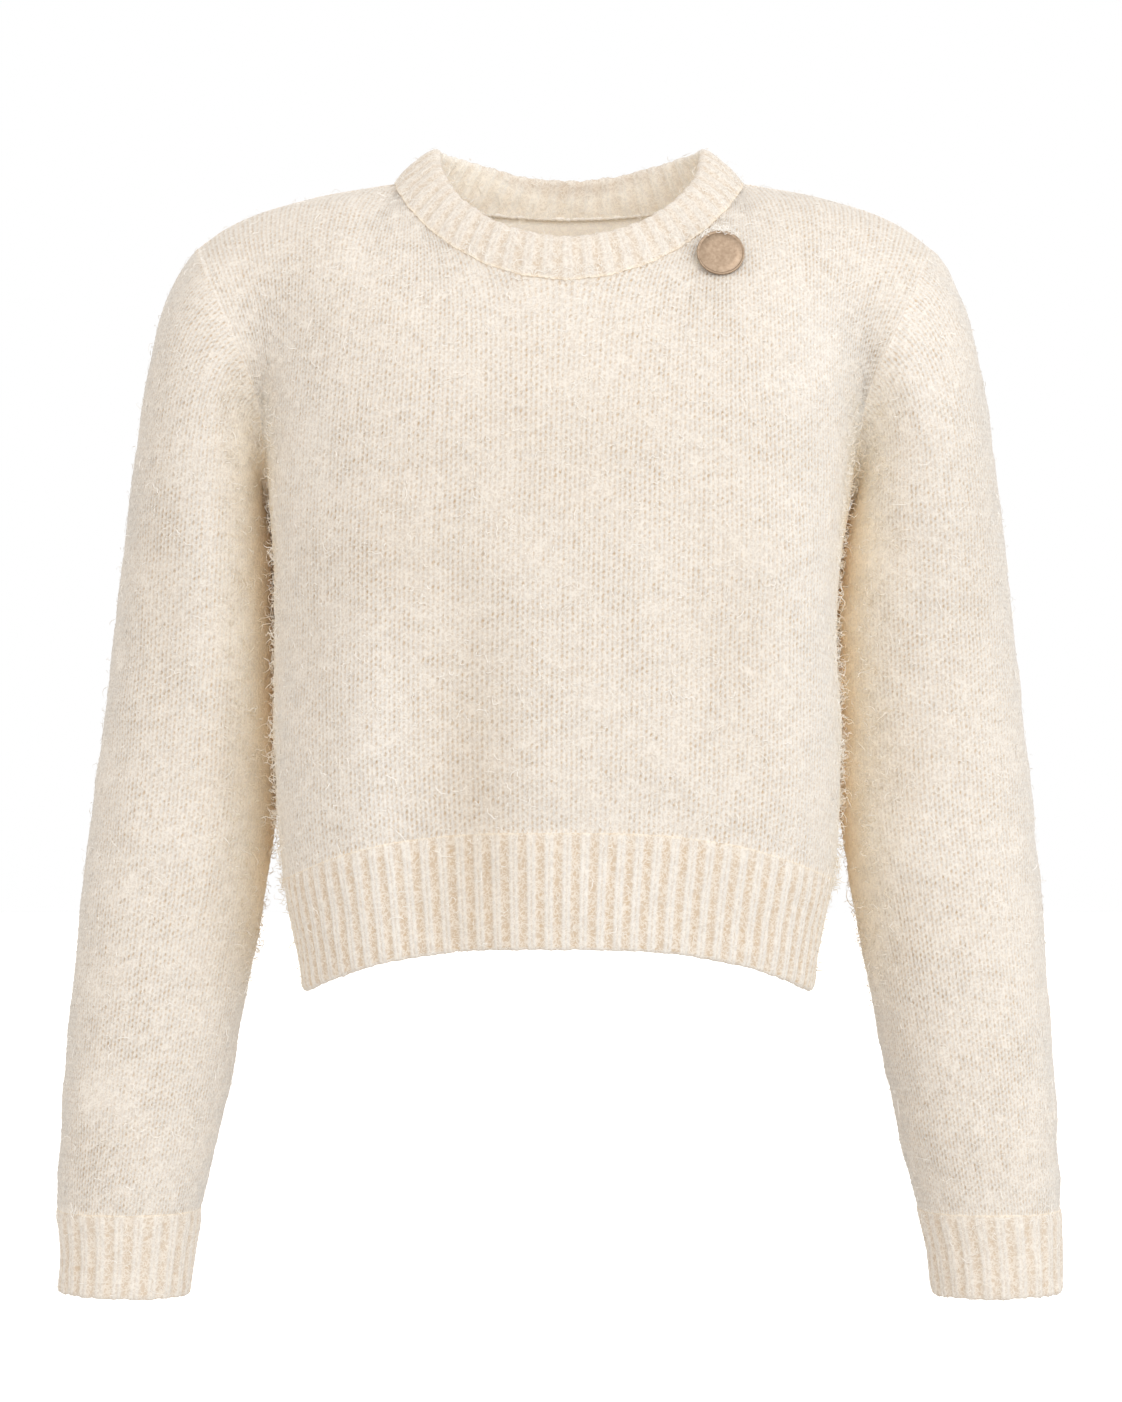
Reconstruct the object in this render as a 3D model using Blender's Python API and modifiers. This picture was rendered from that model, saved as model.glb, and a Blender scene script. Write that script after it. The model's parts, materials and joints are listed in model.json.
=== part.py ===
"""Cropped crew-neck sweater in brushed wool knit, hollow and filled out as it is worn.

Front, back, sleeves and ribbed bands are separate knitted walls that meet at 0.3 mm seams. A small round
badge lies on the chest. +X is the wearer's left, -Y the front and +Z up, in metres. The origin is the point
between the shoulders that the wearer's neck and shoulders carry.
"""

import math

import bpy
import numpy as np

MM = 0.001
COLLECTION_NAME = "cropped_knit_sweater"

# Walls and seams, in millimetres like every size below
KNIT_THICKNESS = 2.4
BAND_THICKNESS = 2.0
SEAM_GAP = 0.3
BAND_GAP = 0.55
COLLAR_GAP = 0.25
SHARP_ANGLE = 50.0
MOST_MITRE = 2.0
MOST_RETREAT = 1.0

# Ribs of the bands: two raised columns and one groove for each rib
RIB_PROFILE = (1.0, 1.0, 0.0)
RIB_HEIGHT = 1.1
COLLAR_RIBS = 50
HEM_RIBS = 90
CUFF_RIBS = 24

# Grid of a body panel
SHOULDER_COLUMNS = 6
NECK_COLUMNS = 14
ARMHOLE_ROWS = 10
DENSE = 240

# Body below the armholes, one row for each section from the hem rib up
BODY_SECTIONS = {
    "columns": ("z_side", "z_front", "z_back", "half_width", "y_front", "y_back", "squareness"),
    "rib join": (-386.0, -357.5, -362.0, 155.0, -112.0, 98.0, 3.0),
    "low": (-345.0, -321.0, -326.0, 158.8, -117.0, 101.0, 2.9),
    "waist": (-300.0, -280.0, -284.0, 160.5, -120.0, 103.0, 2.8),
    "under bust": (-255.0, -240.0, -244.0, 160.5, -123.0, 104.0, 2.7),
    "bust": (-215.0, -204.0, -208.0, 161.5, -124.0, 105.0, 2.7),
    "under arm": (-188.0, -178.0, -183.0, 163.0, -123.0, 106.0, 2.6),
    "armpit": (-170.0, -160.0, -166.0, 165.0, -121.0, 106.0, 2.5),
}
SIDE_SEAM_Y = -6.0

# Shoulder seam, from the neck to the shoulder tip
SHOULDER_SEAM = {
    "columns": ("x", "y", "z"),
    "neck": (98.0, 2.0, 9.0),
    "inner": (122.0, 5.0, 6.0),
    "middle": (150.0, 7.0, 0.5),
    "outer": (186.0, 7.0, -11.5),
    "tip": (210.0, 6.0, -28.0),
}

# Armhole seam, from the armpit to the shoulder tip
ARMHOLE_FRONT = {
    "columns": ("x", "y", "z"),
    "armpit": (165.0, -6.0, -170.0),
    "low": (167.5, -28.0, -146.0),
    "crease": (171.0, -40.0, -118.0),
    "chest": (182.0, -54.0, -88.0),
    "upper": (195.0, -47.0, -60.0),
    "near tip": (205.0, -26.0, -38.0),
    "tip": (210.0, 6.0, -28.0),
}
ARMHOLE_BACK = {
    "columns": ("x", "y", "z"),
    "armpit": (165.0, -6.0, -170.0),
    "low": (167.5, 18.0, -144.0),
    "crease": (171.0, 45.0, -116.0),
    "blade": (181.0, 62.0, -86.0),
    "upper": (195.0, 57.0, -57.0),
    "near tip": (205.0, 40.0, -37.0),
    "tip": (210.0, 6.0, -28.0),
}
ARMHOLE_PULL = 4.0

# Neckline seam and the collar's top edge, in halves: how far each reaches forward or back at its middle,
# and how far it dips there from its height at the shoulders
NECK_CURVES = {
    "columns": ("half_width", "z_side", "reach", "roundness", "drop", "power"),
    "front seam": (98.0, 9.0, -94.0, 0.92, 63.0, 1.45),
    "back seam": (98.0, 9.0, 60.0, 0.9, 13.0, 1.3),
    "front edge": (76.0, 29.5, -83.0, 0.92, 58.0, 1.1),
    "back edge": (76.0, 29.5, 54.0, 0.9, 12.8, 3.0),
}

# Section of the collar's band, from its outer seam over the top edge to its inner seam: share of the way up,
# distance out from the neckline's surface, and how much of the ribs' height it takes
COLLAR_OUTLINE = {
    "columns": ("share", "out", "ribs"),
    "outer seam": (0.0, 1.0, 1.0),
    "outer middle": (0.42, 1.9, 1.0),
    "outer top": (0.86, 1.2, 1.0),
    "top outer": (0.99, -0.5, 0.0),
    "top inner": (1.0, -2.6, 0.0),
    "inner top": (0.9, -4.0, 0.0),
    "inner middle": (0.45, -4.6, 0.0),
    "inner seam": (0.0, -3.6, 0.0),
}

# How a panel rounds over from the armpit's level to its top edge
CHEST_ROLL = 0.15
CHEST_CURVE = 1.7
ROLL_START = 0.1
ROLL_END = 0.75
TOP_SOFTENING = 10
TOP_REACH = 5.0
SHOULDER_SQUARENESS = 2.4

# The neck sits a little to the wearer's left and the hem a little to the right
NECK_SHIFT = 5.6
HEM_SHIFT = -2.4
SHIFT_REACH = 240.0
SHIFT_LOW_Z = -330.0
SHIFT_HIGH_Z = 10.0

# Sleeve, one row for each ring from the upper arm to the cuff: where its outer and inner edges hang, and how
# far the outer edges of both lean to the wearer's left
SLEEVE_RINGS = {
    "columns": ("z", "outer", "inner", "y_middle", "half_depth", "lean"),
    "upper arm": (-208.0, 252.9, 162.8, 18.0, 66.0, 2.4),
    "above elbow": (-252.0, 258.2, 161.6, 23.0, 64.0, 2.4),
    "elbow": (-300.0, 263.9, 161.4, 24.0, 61.5, 2.2),
    "below elbow": (-343.0, 269.1, 161.8, 23.0, 59.0, 1.6),
    "forearm": (-388.0, 274.0, 167.6, 21.0, 56.5, 1.1),
    "mid forearm": (-433.0, 277.8, 175.8, 18.0, 54.0, 0.5),
    "low forearm": (-479.0, 281.4, 184.0, 15.0, 51.0, 0.0),
    "above wrist": (-524.0, 284.8, 193.0, 11.0, 48.0, -0.4),
    "wrist": (-556.0, 286.0, 200.5, 8.5, 45.0, -0.5),
    "cuff join": (-575.0, 286.3, 204.8, 7.5, 42.0, -0.5),
}
SLEEVE_SQUARENESS = 2.2
SLEEVE_HEAD_STEPS = (0.12, 0.26, 0.42, 0.6, 0.8)
HEAD_HANDLE = 0.19
ARM_HANDLE = 0.62

# Which way the sleeve leaves the armhole seam, from the armpit over the front to the tip
SLEEVE_HEAD_FRONT = {
    "columns": ("x", "y", "z"),
    "armpit": (0.74, 0.05, -0.67),
    "crease": (0.68, -0.30, -0.67),
    "chest": (0.72, -0.10, -0.68),
    "tip": (0.65, 0.0, -0.76),
}
SLEEVE_HEAD_BACK = {
    "columns": ("x", "y", "z"),
    "armpit": (0.74, 0.05, -0.67),
    "crease": (0.68, 0.30, -0.67),
    "blade": (0.72, 0.10, -0.68),
    "tip": (0.65, 0.0, -0.76),
}

# Cuff and hem rib below their joins
CUFF_RINGS = {
    "columns": ("z", "outer", "inner", "y_middle", "half_depth"),
    "middle": (-597.0, 285.0, 209.8, 6.0, 38.5),
    "edge": (-621.5, 285.6, 212.4, 5.5, 37.5),
}
CUFF_TILT = 2.0
HEM_SECTIONS = {
    "columns": ("z_side", "z_front", "z_back", "half_width", "y_front", "y_back", "squareness"),
    "middle": (-417.0, -389.0, -394.0, 148.3, -110.0, 95.0, 3.0),
    "edge": (-448.5, -421.5, -427.0, 143.2, -107.0, 92.0, 3.0),
}

# Soft drape folds of a panel: where each is, its half sizes, and its height, less than zero for a trough
FRONT_FOLDS = {
    "columns": ("x", "z", "half_width", "half_length", "height"),
    "left ridge": (-104.0, -275.0, 20.0, 60.0, 2.5),
    "left trough": (-46.0, -270.0, 18.0, 75.0, -2.8),
    "right trough": (72.0, -205.0, 24.0, 55.0, -1.8),
    "right ridge": (128.0, -215.0, 18.0, 55.0, 1.6),
}
BACK_FOLDS = {
    "columns": ("x", "z", "half_width", "half_length", "height"),
    "left trough": (-70.0, -260.0, 22.0, 70.0, -2.6),
    "middle ridge": (6.0, -285.0, 22.0, 60.0, 2.0),
    "right trough": (82.0, -240.0, 20.0, 65.0, -2.2),
}

# Badge, flat on the chest at the wearer's left
BADGE_DIAMETER = 26.5
BADGE_THICKNESS = 2.0
BADGE_RIM = 0.5
BADGE_SEAT_GAP = 0.1
BADGE_LEAN = 12.0
SEAT_DETAIL = 6
BADGE_PLACE = (88.0, -40.4)
BADGE_SIDES = 40

CREAM = (0.86, 0.79, 0.68, 1.0)
BRASS = (0.74, 0.58, 0.42, 1.0)


def column(table, name):
    """One named column of a table, as an array with a value for each row."""
    place = table["columns"].index(name)
    return np.array([row[place] for key, row in table.items() if key != "columns"])


def path(table):
    """The x, y and z columns of a table, as points."""
    return np.stack([column(table, axis) for axis in "xyz"], axis=1)


def lengths(points):
    """Distance along a polyline to each of its points."""
    steps = np.linalg.norm(np.diff(points, axis=0), axis=1)
    return np.concatenate([[0.0], np.cumsum(steps)])


def at_lengths(points, wanted):
    """Points at the wanted distances along a polyline."""
    along = lengths(points)
    return np.stack([np.interp(wanted, along, points[:, axis]) for axis in range(3)], axis=1)


def evenly(points, count):
    """The polyline as count equal steps."""
    return at_lengths(points, np.linspace(0.0, lengths(points)[-1], count + 1))


def smooth(points):
    """A dense Catmull-Rom curve through the points."""
    ends = [2 * points[0] - points[1]], [2 * points[-1] - points[-2]]
    padded = np.concatenate([ends[0], points, ends[1]])
    pieces = []
    u = np.linspace(0.0, 1.0, DENSE // len(points), endpoint=False)[:, None]
    for a, b, c, d in zip(padded[:-3], padded[1:-2], padded[2:-1], padded[3:]):
        cubic = 2 * b + (c - a) * u + (2 * a - 5 * b + 4 * c - d) * u**2 + (3 * b - a - 3 * c + d) * u**3
        pieces.append(cubic / 2)
    return np.concatenate(pieces + [points[-1:]])


def unit(vectors):
    """Vectors scaled to length one."""
    return vectors / np.maximum(np.linalg.norm(vectors, axis=-1, keepdims=True), 1e-9)


def signed_power(value, power):
    """A power that keeps the sign."""
    return np.sign(value) * np.abs(value) ** power


def half_section(sizes, side):
    """Half of a body section, from the seam at -X to the seam at +X: side is front or back."""
    angle = np.linspace(-math.pi / 2, math.pi / 2, DENSE)
    power = 2 / sizes["squareness"]
    sine = signed_power(np.sin(angle), power)
    cosine = signed_power(np.cos(angle), power)
    x = sizes["half_width"] * sine
    y = SIDE_SEAM_Y + (sizes["y_" + side] - SIDE_SEAM_Y) * cosine
    z = sizes["z_side"] + (sizes["z_" + side] - sizes["z_side"]) * np.cos(angle) ** 2
    return np.stack([x, y, z], axis=1)


def rows_of(table):
    """Each row of a table as a dictionary of its named columns."""
    names = table["columns"]
    return [dict(zip(names, row)) for key, row in table.items() if key != "columns"]


def neck_curve(name):
    """Half of a closed curve round the neck, from the shoulder at -X to the one at +X."""
    sizes = dict(zip(NECK_CURVES["columns"], NECK_CURVES[name]))
    angle = np.linspace(-math.pi / 2, math.pi / 2, DENSE)
    cosine = np.abs(np.cos(angle))
    x = sizes["half_width"] * np.sin(angle)
    y = path(SHOULDER_SEAM)[0][1] + sizes["reach"] * cosine ** sizes["roundness"]
    z = sizes["z_side"] - sizes["drop"] * cosine ** sizes["power"]
    return np.stack([x, y, z], axis=1)


def top_edge(side):
    """A panel's top edge, from the tip at -X along shoulder, neckline and shoulder to the tip at +X."""
    neckline = evenly(neck_curve(side + " seam"), NECK_COLUMNS)
    shoulder = evenly(smooth(path(SHOULDER_SEAM)), SHOULDER_COLUMNS)
    mirrored = shoulder[::-1] * (-1, 1, 1)
    return np.concatenate([mirrored[:-1], neckline, shoulder[1:]])


def fold_height(table, x, z):
    """How far the drape folds stand out at a place on a panel."""
    total = np.zeros_like(x)
    for fold in rows_of(table):
        across = ((x - fold["x"]) / fold["half_width"]) ** 2
        along = ((z - fold["z"]) / fold["half_length"]) ** 2
        total += fold["height"] * np.exp(-across - along)
    return total


def shifted(points):
    """Points moved sideways: to the wearer's left towards the neck, and a little to the right low down."""
    rise = np.clip((points[..., 2] - SHIFT_LOW_Z) / (SHIFT_HIGH_Z - SHIFT_LOW_Z), 0.0, 1.0)
    near_middle = np.exp(-((points[..., 0] / SHIFT_REACH) ** 2))
    moved = points.copy()
    moved[..., 0] += (HEM_SHIFT + (NECK_SHIFT - HEM_SHIFT) * rise**2) * near_middle
    return moved


def panel_skin(side):
    """Outer points of the front or back, as rows from the hem rib up and columns from -X to +X."""
    columns = 2 * SHOULDER_COLUMNS + NECK_COLUMNS
    low_rows = [evenly(half_section(sizes, side), columns) for sizes in rows_of(BODY_SECTIONS)]
    foot = low_rows[-1]
    top = top_edge(side)
    soft_top = top.copy()
    for _ in range(TOP_SOFTENING):
        soft_top[1:-1] = (soft_top[:-2] + 2 * soft_top[1:-1] + soft_top[2:]) / 4
    place = np.linspace(-1.0, 1.0, columns + 1)
    outer_share = np.clip((np.abs(place) - ROLL_START) / (ROLL_END - ROLL_START), 0.0, 1.0)
    roll = CHEST_ROLL + (1 - CHEST_ROLL) * outer_share**2 * (3 - 2 * outer_share)
    armhole = evenly(smooth(path(ARMHOLE_FRONT if side == "front" else ARMHOLE_BACK)), ARMHOLE_ROWS)
    power = 2 / SHOULDER_SQUARENESS
    high_rows = []
    for step in range(1, ARMHOLE_ROWS + 1):
        share = step / ARMHOLE_ROWS
        angle = share * math.pi / 2
        rise = (1 - roll) * share + roll * math.sin(angle) ** power
        back = (1 - roll) * share**CHEST_CURVE + roll * (1 - math.cos(angle) ** power)
        row = np.empty_like(foot)
        row[:, 0] = foot[:, 0] + (soft_top[:, 0] - foot[:, 0]) * share
        row[:, 1] = foot[:, 1] + (soft_top[:, 1] - foot[:, 1]) * back
        row[:, 2] = foot[:, 2] + (soft_top[:, 2] - foot[:, 2]) * rise
        row += (top - soft_top) * share**TOP_REACH
        pull = (np.abs(place) ** ARMHOLE_PULL)[:, None]
        edge = armhole[step]
        to_right = edge - row[-1]
        to_left = edge * (-1, 1, 1) - row[0]
        row += pull * np.where(place[:, None] > 0, to_right, to_left)
        high_rows.append(row)
    grid = np.array(low_rows + high_rows)
    outward = -1.0 if side == "front" else 1.0
    folds = FRONT_FOLDS if side == "front" else BACK_FOLDS
    inside = grid[:-1, 1:-1]
    clear_of_seams = 1 - place[1:-1] ** 8
    inside[..., 1] += outward * clear_of_seams * fold_height(folds, inside[..., 0], inside[..., 2])
    return shifted(grid)


def sleeve_ring(sizes, count):
    """A level ring of the sleeve at +X, from its inner side over the front, outer side and back."""
    angle = np.arange(count) * 2 * math.pi / count
    power = 2 / SLEEVE_SQUARENESS
    half_width = (sizes["outer"] - sizes["inner"]) / 2
    middle = (sizes["outer"] + sizes["inner"]) / 2
    x = middle - half_width * signed_power(np.cos(angle), power)
    y = sizes["y_middle"] - sizes["half_depth"] * signed_power(np.sin(angle), power)
    return np.stack([x, y, np.full(count, sizes["z"])], axis=1)


def sleeve_skin(front, back, sign):
    """Outer points of a sleeve, as rings from the armhole to the cuff: sign is +1 at +X and -1 at -X."""
    edge = -1 if sign > 0 else 0
    low = len(BODY_SECTIONS) - 2
    armhole = np.concatenate([front[low:, edge], back[low + 1 : -1, edge][::-1]])
    armhole = armhole * (sign, 1, 1)
    count = 2 * ARMHOLE_ROWS
    heads = [evenly(smooth(path(table)), ARMHOLE_ROWS) for table in (SLEEVE_HEAD_FRONT, SLEEVE_HEAD_BACK)]
    leave = unit(np.concatenate([heads[0], heads[1][1:-1][::-1]]))
    rings = []
    for sizes in rows_of(SLEEVE_RINGS):
        sizes["outer"] += sign * sizes["lean"]
        rings.append(sleeve_ring(sizes, count))
    rings = [shifted(ring * (sign, 1, 1)) * (sign, 1, 1) for ring in rings]
    first = rings[0]
    arrive = unit(rings[1] - rings[0])
    reach = np.linalg.norm(first - armhole, axis=1)[:, None]
    start_handle = armhole + leave * reach * HEAD_HANDLE
    end_handle = first - arrive * reach * ARM_HANDLE
    head = [armhole]
    for u in SLEEVE_HEAD_STEPS:
        near = (1 - u) ** 3 * armhole + 3 * (1 - u) ** 2 * u * start_handle
        far = 3 * (1 - u) * u**2 * end_handle + u**3 * first
        head.append(near + far)
    return np.array(head + rings) * (sign, 1, 1)


def quads(rows, columns, closed):
    """Corner indices of each cell of a grid, whose columns may close into a ring."""
    cells = []
    for row in range(rows - 1):
        for place in range(columns if closed else columns - 1):
            after = (place + 1) % columns
            cells.append((row * columns + place, row * columns + after))
            cells[-1] += ((row + 1) * columns + after, (row + 1) * columns + place)
    return np.array(cells)


def shared_normals(skins):
    """Outward direction at each point of the skins, halfway between body and sleeve at their seam."""
    points = np.concatenate([skin["points"].reshape(-1, 3) for skin in skins])
    _, index = np.unique(np.round(points, 4), axis=0, return_inverse=True)
    index = index.reshape(-1)
    faces = []
    on_body = []
    start = 0
    for skin in skins:
        cells = quads(*skin["points"].shape[:2], skin["closed"]) + start
        faces.append(cells if skin["outward"] > 0 else cells[:, ::-1])
        on_body += [not skin["closed"]] * len(cells)
        start += skin["points"].shape[0] * skin["points"].shape[1]
    faces = np.concatenate(faces)
    on_body = np.array(on_body)
    corners = points[faces]
    face_normals = unit(np.cross(corners[:, 2] - corners[:, 0], corners[:, 3] - corners[:, 1]))
    both = np.zeros((index.max() + 1, 3))
    for chosen in (on_body, ~on_body):
        total = np.zeros_like(both)
        for corner in range(4):
            np.add.at(total, index[faces[chosen, corner]], face_normals[chosen])
        both += unit(total)
    normals = unit(both)
    worst = np.ones(len(normals))
    for corner in range(4):
        vertex = index[faces[:, corner]]
        np.minimum.at(worst, vertex, (normals[vertex] * face_normals).sum(axis=1))
    mitred = normals / np.maximum(worst, 1 / MOST_MITRE)[:, None]
    start = 0
    for skin in skins:
        size = skin["points"].shape[0] * skin["points"].shape[1]
        skin["normals"] = mitred[index[start : start + size]].reshape(skin["points"].shape)
        start += size


def retreat(edge, neighbour, normals, gap):
    """How an edge moves into its own piece, so that it ends half a gap from the seam between two pieces."""
    along = unit(np.gradient(edge, axis=0))
    inward = neighbour - edge
    inward -= (inward * along).sum(axis=1, keepdims=True) * along
    inward = unit(inward)
    seam_face = unit(np.cross(along, normals))
    share = np.abs((inward * seam_face).sum(axis=1, keepdims=True))
    return inward * np.minimum(gap / 2 / np.maximum(share, 1e-3), MOST_RETREAT)


def closed_retreat(ring, neighbour, normals, gap):
    """The same for a closed ring."""
    wrapped = [np.concatenate([part[-1:], part, part[:1]]) for part in (ring, neighbour, normals)]
    return retreat(*wrapped, gap)[1:-1]


def seam_moves(skin):
    """How each point of a skin moves to leave the gap at its seams."""
    points, normals = skin["points"], skin["normals"]
    moves = np.zeros_like(points)
    if skin["closed"]:
        moves[0] += closed_retreat(points[0], points[1], normals[0], SEAM_GAP)
        moves[-1] += closed_retreat(points[-1], points[-2], normals[-1], SEAM_GAP)
        return moves
    moves[0] += retreat(points[0], points[1], normals[0], SEAM_GAP)
    moves[-1] += retreat(points[-1], points[-2], normals[-1], SEAM_GAP)
    armpit = len(BODY_SECTIONS) - 2
    for edge, beside in ((0, 1), (-1, -2)):
        for part in (slice(0, armpit + 1), slice(armpit, None)):
            line, near, out = points[part, edge], points[part, beside], normals[part, edge]
            moves[part, edge] += retreat(line, near, out, SEAM_GAP)
    return moves


def add_mesh(name, points, faces, material, collection):
    """A named object from points in millimetres and faces, shaded smooth but for its sharp edges."""
    mesh = bpy.data.meshes.new(name)
    mesh.from_pydata((points * MM).tolist(), [], faces)
    mesh.materials.append(material)
    mesh.shade_smooth()
    mesh.set_sharp_from_angle(angle=math.radians(SHARP_ANGLE))
    collection.objects.link(bpy.data.objects.new(name, mesh))


def wall_object(name, outer, inner, closed, outward, material, collection):
    """A closed wall between two grids of the same size, facing out."""
    rows, columns = outer.shape[:2]
    size = rows * columns
    flat = outer.reshape(-1, 3)
    faces = []
    for a, b, c, d in quads(rows, columns, closed):
        # Each cell folds along its shorter diagonal, outside and inside alike
        if np.linalg.norm(flat[a] - flat[c]) <= np.linalg.norm(flat[b] - flat[d]):
            halves = (a, b, c), (a, c, d)
        else:
            halves = (a, b, d), (b, c, d)
        for half in halves:
            faces += [half, tuple(corner + size for corner in half[::-1])]
    last = (rows - 1) * columns
    rim = []
    for place in range(columns if closed else columns - 1):
        after = (place + 1) % columns
        rim.append((after, place))
        rim.append((last + place, last + after))
    if not closed:
        for row in range(rows - 1):
            rim.append((row * columns, (row + 1) * columns))
            rim.append(((row + 2) * columns - 1, (row + 1) * columns - 1))
    for a, b in rim:
        # Both pieces at a seam split its face from the lower outer corner, so that neither cuts the other
        if flat[a, 2] < flat[b, 2]:
            faces += [(a, b, b + size), (a, b + size, a + size)]
        else:
            faces += [(a, b, a + size), (b, b + size, a + size)]
    if outward < 0:
        faces = [face[::-1] for face in faces]
    add_mesh(name, np.concatenate([flat, inner.reshape(-1, 3)]), faces, material, collection)


def skin_wall(name, skin, material, collection):
    """The wall of a knitted piece: its skin and the same skin moved in by the knit's thickness."""
    moves = seam_moves(skin)
    outer = skin["points"] + moves
    inner = outer - skin["normals"] * KNIT_THICKNESS
    wall_object(name, outer, inner, skin["closed"], skin["outward"], material, collection)


def ring_normals(rings):
    """Outward level direction at each point of closed rings that run the same way round."""
    ahead = np.roll(rings, -1, axis=1)
    behind = np.roll(rings, 1, axis=1)
    along = ahead - behind
    return unit(np.stack([along[..., 1], -along[..., 0], np.zeros(along.shape[:2])], axis=-1))


def rib_heights(count):
    """Height of each column of a ribbed band."""
    return RIB_HEIGHT * np.tile(RIB_PROFILE, count)


def ribbed_band(name, join, join_inner, rings, ribs, material, collection):
    """A ribbed tube below a join: its ribs are raised in the outer points over a plain inside."""
    count = ribs * len(RIB_PROFILE)
    outer = np.array([closed_evenly(ring, count) for ring in [join] + rings])
    join_inside = closed_evenly(join_inner, count)
    flat = ring_normals(outer)
    direction = np.sign(((outer - outer.mean(axis=1, keepdims=True)) * flat).sum())
    flat *= direction
    inner = outer - flat * BAND_THICKNESS
    inner[0] = join_inside
    outer += flat * rib_heights(ribs)[None, :, None]
    drop = closed_retreat(outer[0], outer[1], flat[0], BAND_GAP)
    outer[0] += drop
    inner[0] += drop
    wall_object(name, outer, inner, True, -direction, material, collection)


def closed_evenly(ring, count):
    """A closed ring as count equal steps."""
    return evenly(np.concatenate([ring, ring[:1]]), count)[:-1]


def hem_ring(sizes):
    """A closed section of the hem rib, from the seam at -X over the front to +X and round the back."""
    front, back = half_section(sizes, "front"), half_section(sizes, "back")
    return np.concatenate([front[:-1], back[:0:-1]])


def make_hem(front, back, material, collection):
    """The hem rib, hung from the body's lowest row."""
    row, inside = [np.concatenate([f[:-1], b[:0:-1]]) for f, b in zip(front, back)]
    rings = [shifted(hem_ring(sizes)) for sizes in rows_of(HEM_SECTIONS)]
    ribbed_band("hem_rib", row, inside, rings, HEM_RIBS, material, collection)


def make_cuff(name, skin, sign, material, collection):
    """A cuff, hung from the sleeve's last ring."""
    join = skin["points"][-1]
    join_inner = join - skin["normals"][-1] * KNIT_THICKNESS
    rings = []
    for sizes in rows_of(CUFF_RINGS):
        ring = sleeve_ring(sizes, DENSE)
        ring[:, 2] -= CUFF_TILT * (sizes["outer"] - ring[:, 0]) / (sizes["outer"] - sizes["inner"])
        rings.append(ring * (sign, 1, 1))
    ribbed_band(name, join, join_inner, rings, CUFF_RIBS, material, collection)


def make_collar(front, back, material, collection):
    """The doubled crew-neck band: a flattened loop of ribbing round the neckline."""
    count = COLLAR_RIBS * len(RIB_PROFILE)
    first, last = SHOULDER_COLUMNS, SHOULDER_COLUMNS + NECK_COLUMNS
    seam = np.concatenate([front[first:last], back[last:first:-1]])
    edge = np.concatenate([neck_curve("front edge")[:-1], neck_curve("back edge")[:0:-1]])
    edge = shifted(edge)
    seam, edge = closed_evenly(seam, count), closed_evenly(edge, count)
    rise = edge - seam
    along = unit(np.roll(seam, -1, axis=0) - np.roll(seam, 1, axis=0))
    out = unit(np.cross(along, unit(rise)))
    raised = rib_heights(COLLAR_RIBS)[:, None] * out
    loops = []
    for sizes in rows_of(COLLAR_OUTLINE):
        loop = seam + unit(rise) * COLLAR_GAP + rise * sizes["share"] + out * sizes["out"]
        loops.append(loop + raised * sizes["ribs"])
    loops = np.array(loops)
    sections = loops.shape[0]
    faces = []
    for section in range(sections):
        after = (section + 1) % sections
        for place in range(count):
            beside = (place + 1) % count
            faces.append((section * count + place, section * count + beside))
            faces[-1] += (after * count + beside, after * count + place)
    add_mesh("collar", loops.reshape(-1, 3), faces, material, collection)


def refined(points, times):
    """The same grid with more rows and columns between its own."""
    for axis in (0, 1):
        size = points.shape[axis]
        place = np.linspace(0, size - 1, (size - 1) * times + 1)
        before = np.minimum(place.astype(int), size - 2)
        share = np.expand_dims(place - before, (1 - axis, 2))
        points = points.take(before, axis) * (1 - share) + points.take(before + 1, axis) * share
    return points


def badge_seat(points):
    """The front's points under the badge, the place under its middle and the outward direction there."""
    x, z = BADGE_PLACE
    flat = refined(points, SEAT_DETAIL).reshape(-1, 3)
    near = flat[np.linalg.norm(flat[:, [0, 2]] - (x, z), axis=1) < BADGE_DIAMETER / 2]
    fit = np.column_stack([near[:, 0], near[:, 2], np.ones(len(near))])
    slope_x, slope_z, level = np.linalg.lstsq(fit, near[:, 1], rcond=None)[0]
    outward = unit(np.array([slope_x, -1.0, slope_z]))
    return near, np.array([x, slope_x * x + slope_z * z + level, z]), outward


def make_badge(points, material, collection):
    """A plain turned disc with a soft rim."""
    radius = BADGE_DIAMETER / 2
    bpy.ops.mesh.primitive_cylinder_add(
        vertices=BADGE_SIDES, radius=radius * MM, depth=BADGE_THICKNESS * MM
    )
    badge = bpy.context.object
    badge.name = "badge"
    badge.data.name = "badge"
    for owner in badge.users_collection:
        owner.objects.unlink(badge)
    collection.objects.link(badge)
    badge.data.materials.append(material)
    rim = badge.modifiers.new("soft rim", "BEVEL")
    rim.width = BADGE_RIM * MM
    rim.segments = 2
    rim.limit_method = "ANGLE"
    badge.data.shade_smooth()
    badge.data.set_sharp_from_angle(angle=math.radians(SHARP_ANGLE))
    near, middle, outward = badge_seat(points)
    lean = math.radians(BADGE_LEAN)
    facing = unit(outward * math.cos(lean) - np.array([0.0, 0.0, 1.0]) * math.sin(lean))
    axis = unit(np.cross((0.0, 0.0, 1.0), facing))
    badge.rotation_mode = "AXIS_ANGLE"
    badge.rotation_axis_angle = (math.acos(facing[2]), *axis)
    # The badge is more upright than the knit: its upper half rests on it and its lower edge stands off
    rise = (((near - middle) @ facing).max() + BADGE_SEAT_GAP) / (outward @ facing)
    badge.location = (middle + outward * rise + facing * BADGE_THICKNESS / 2) * MM


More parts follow.
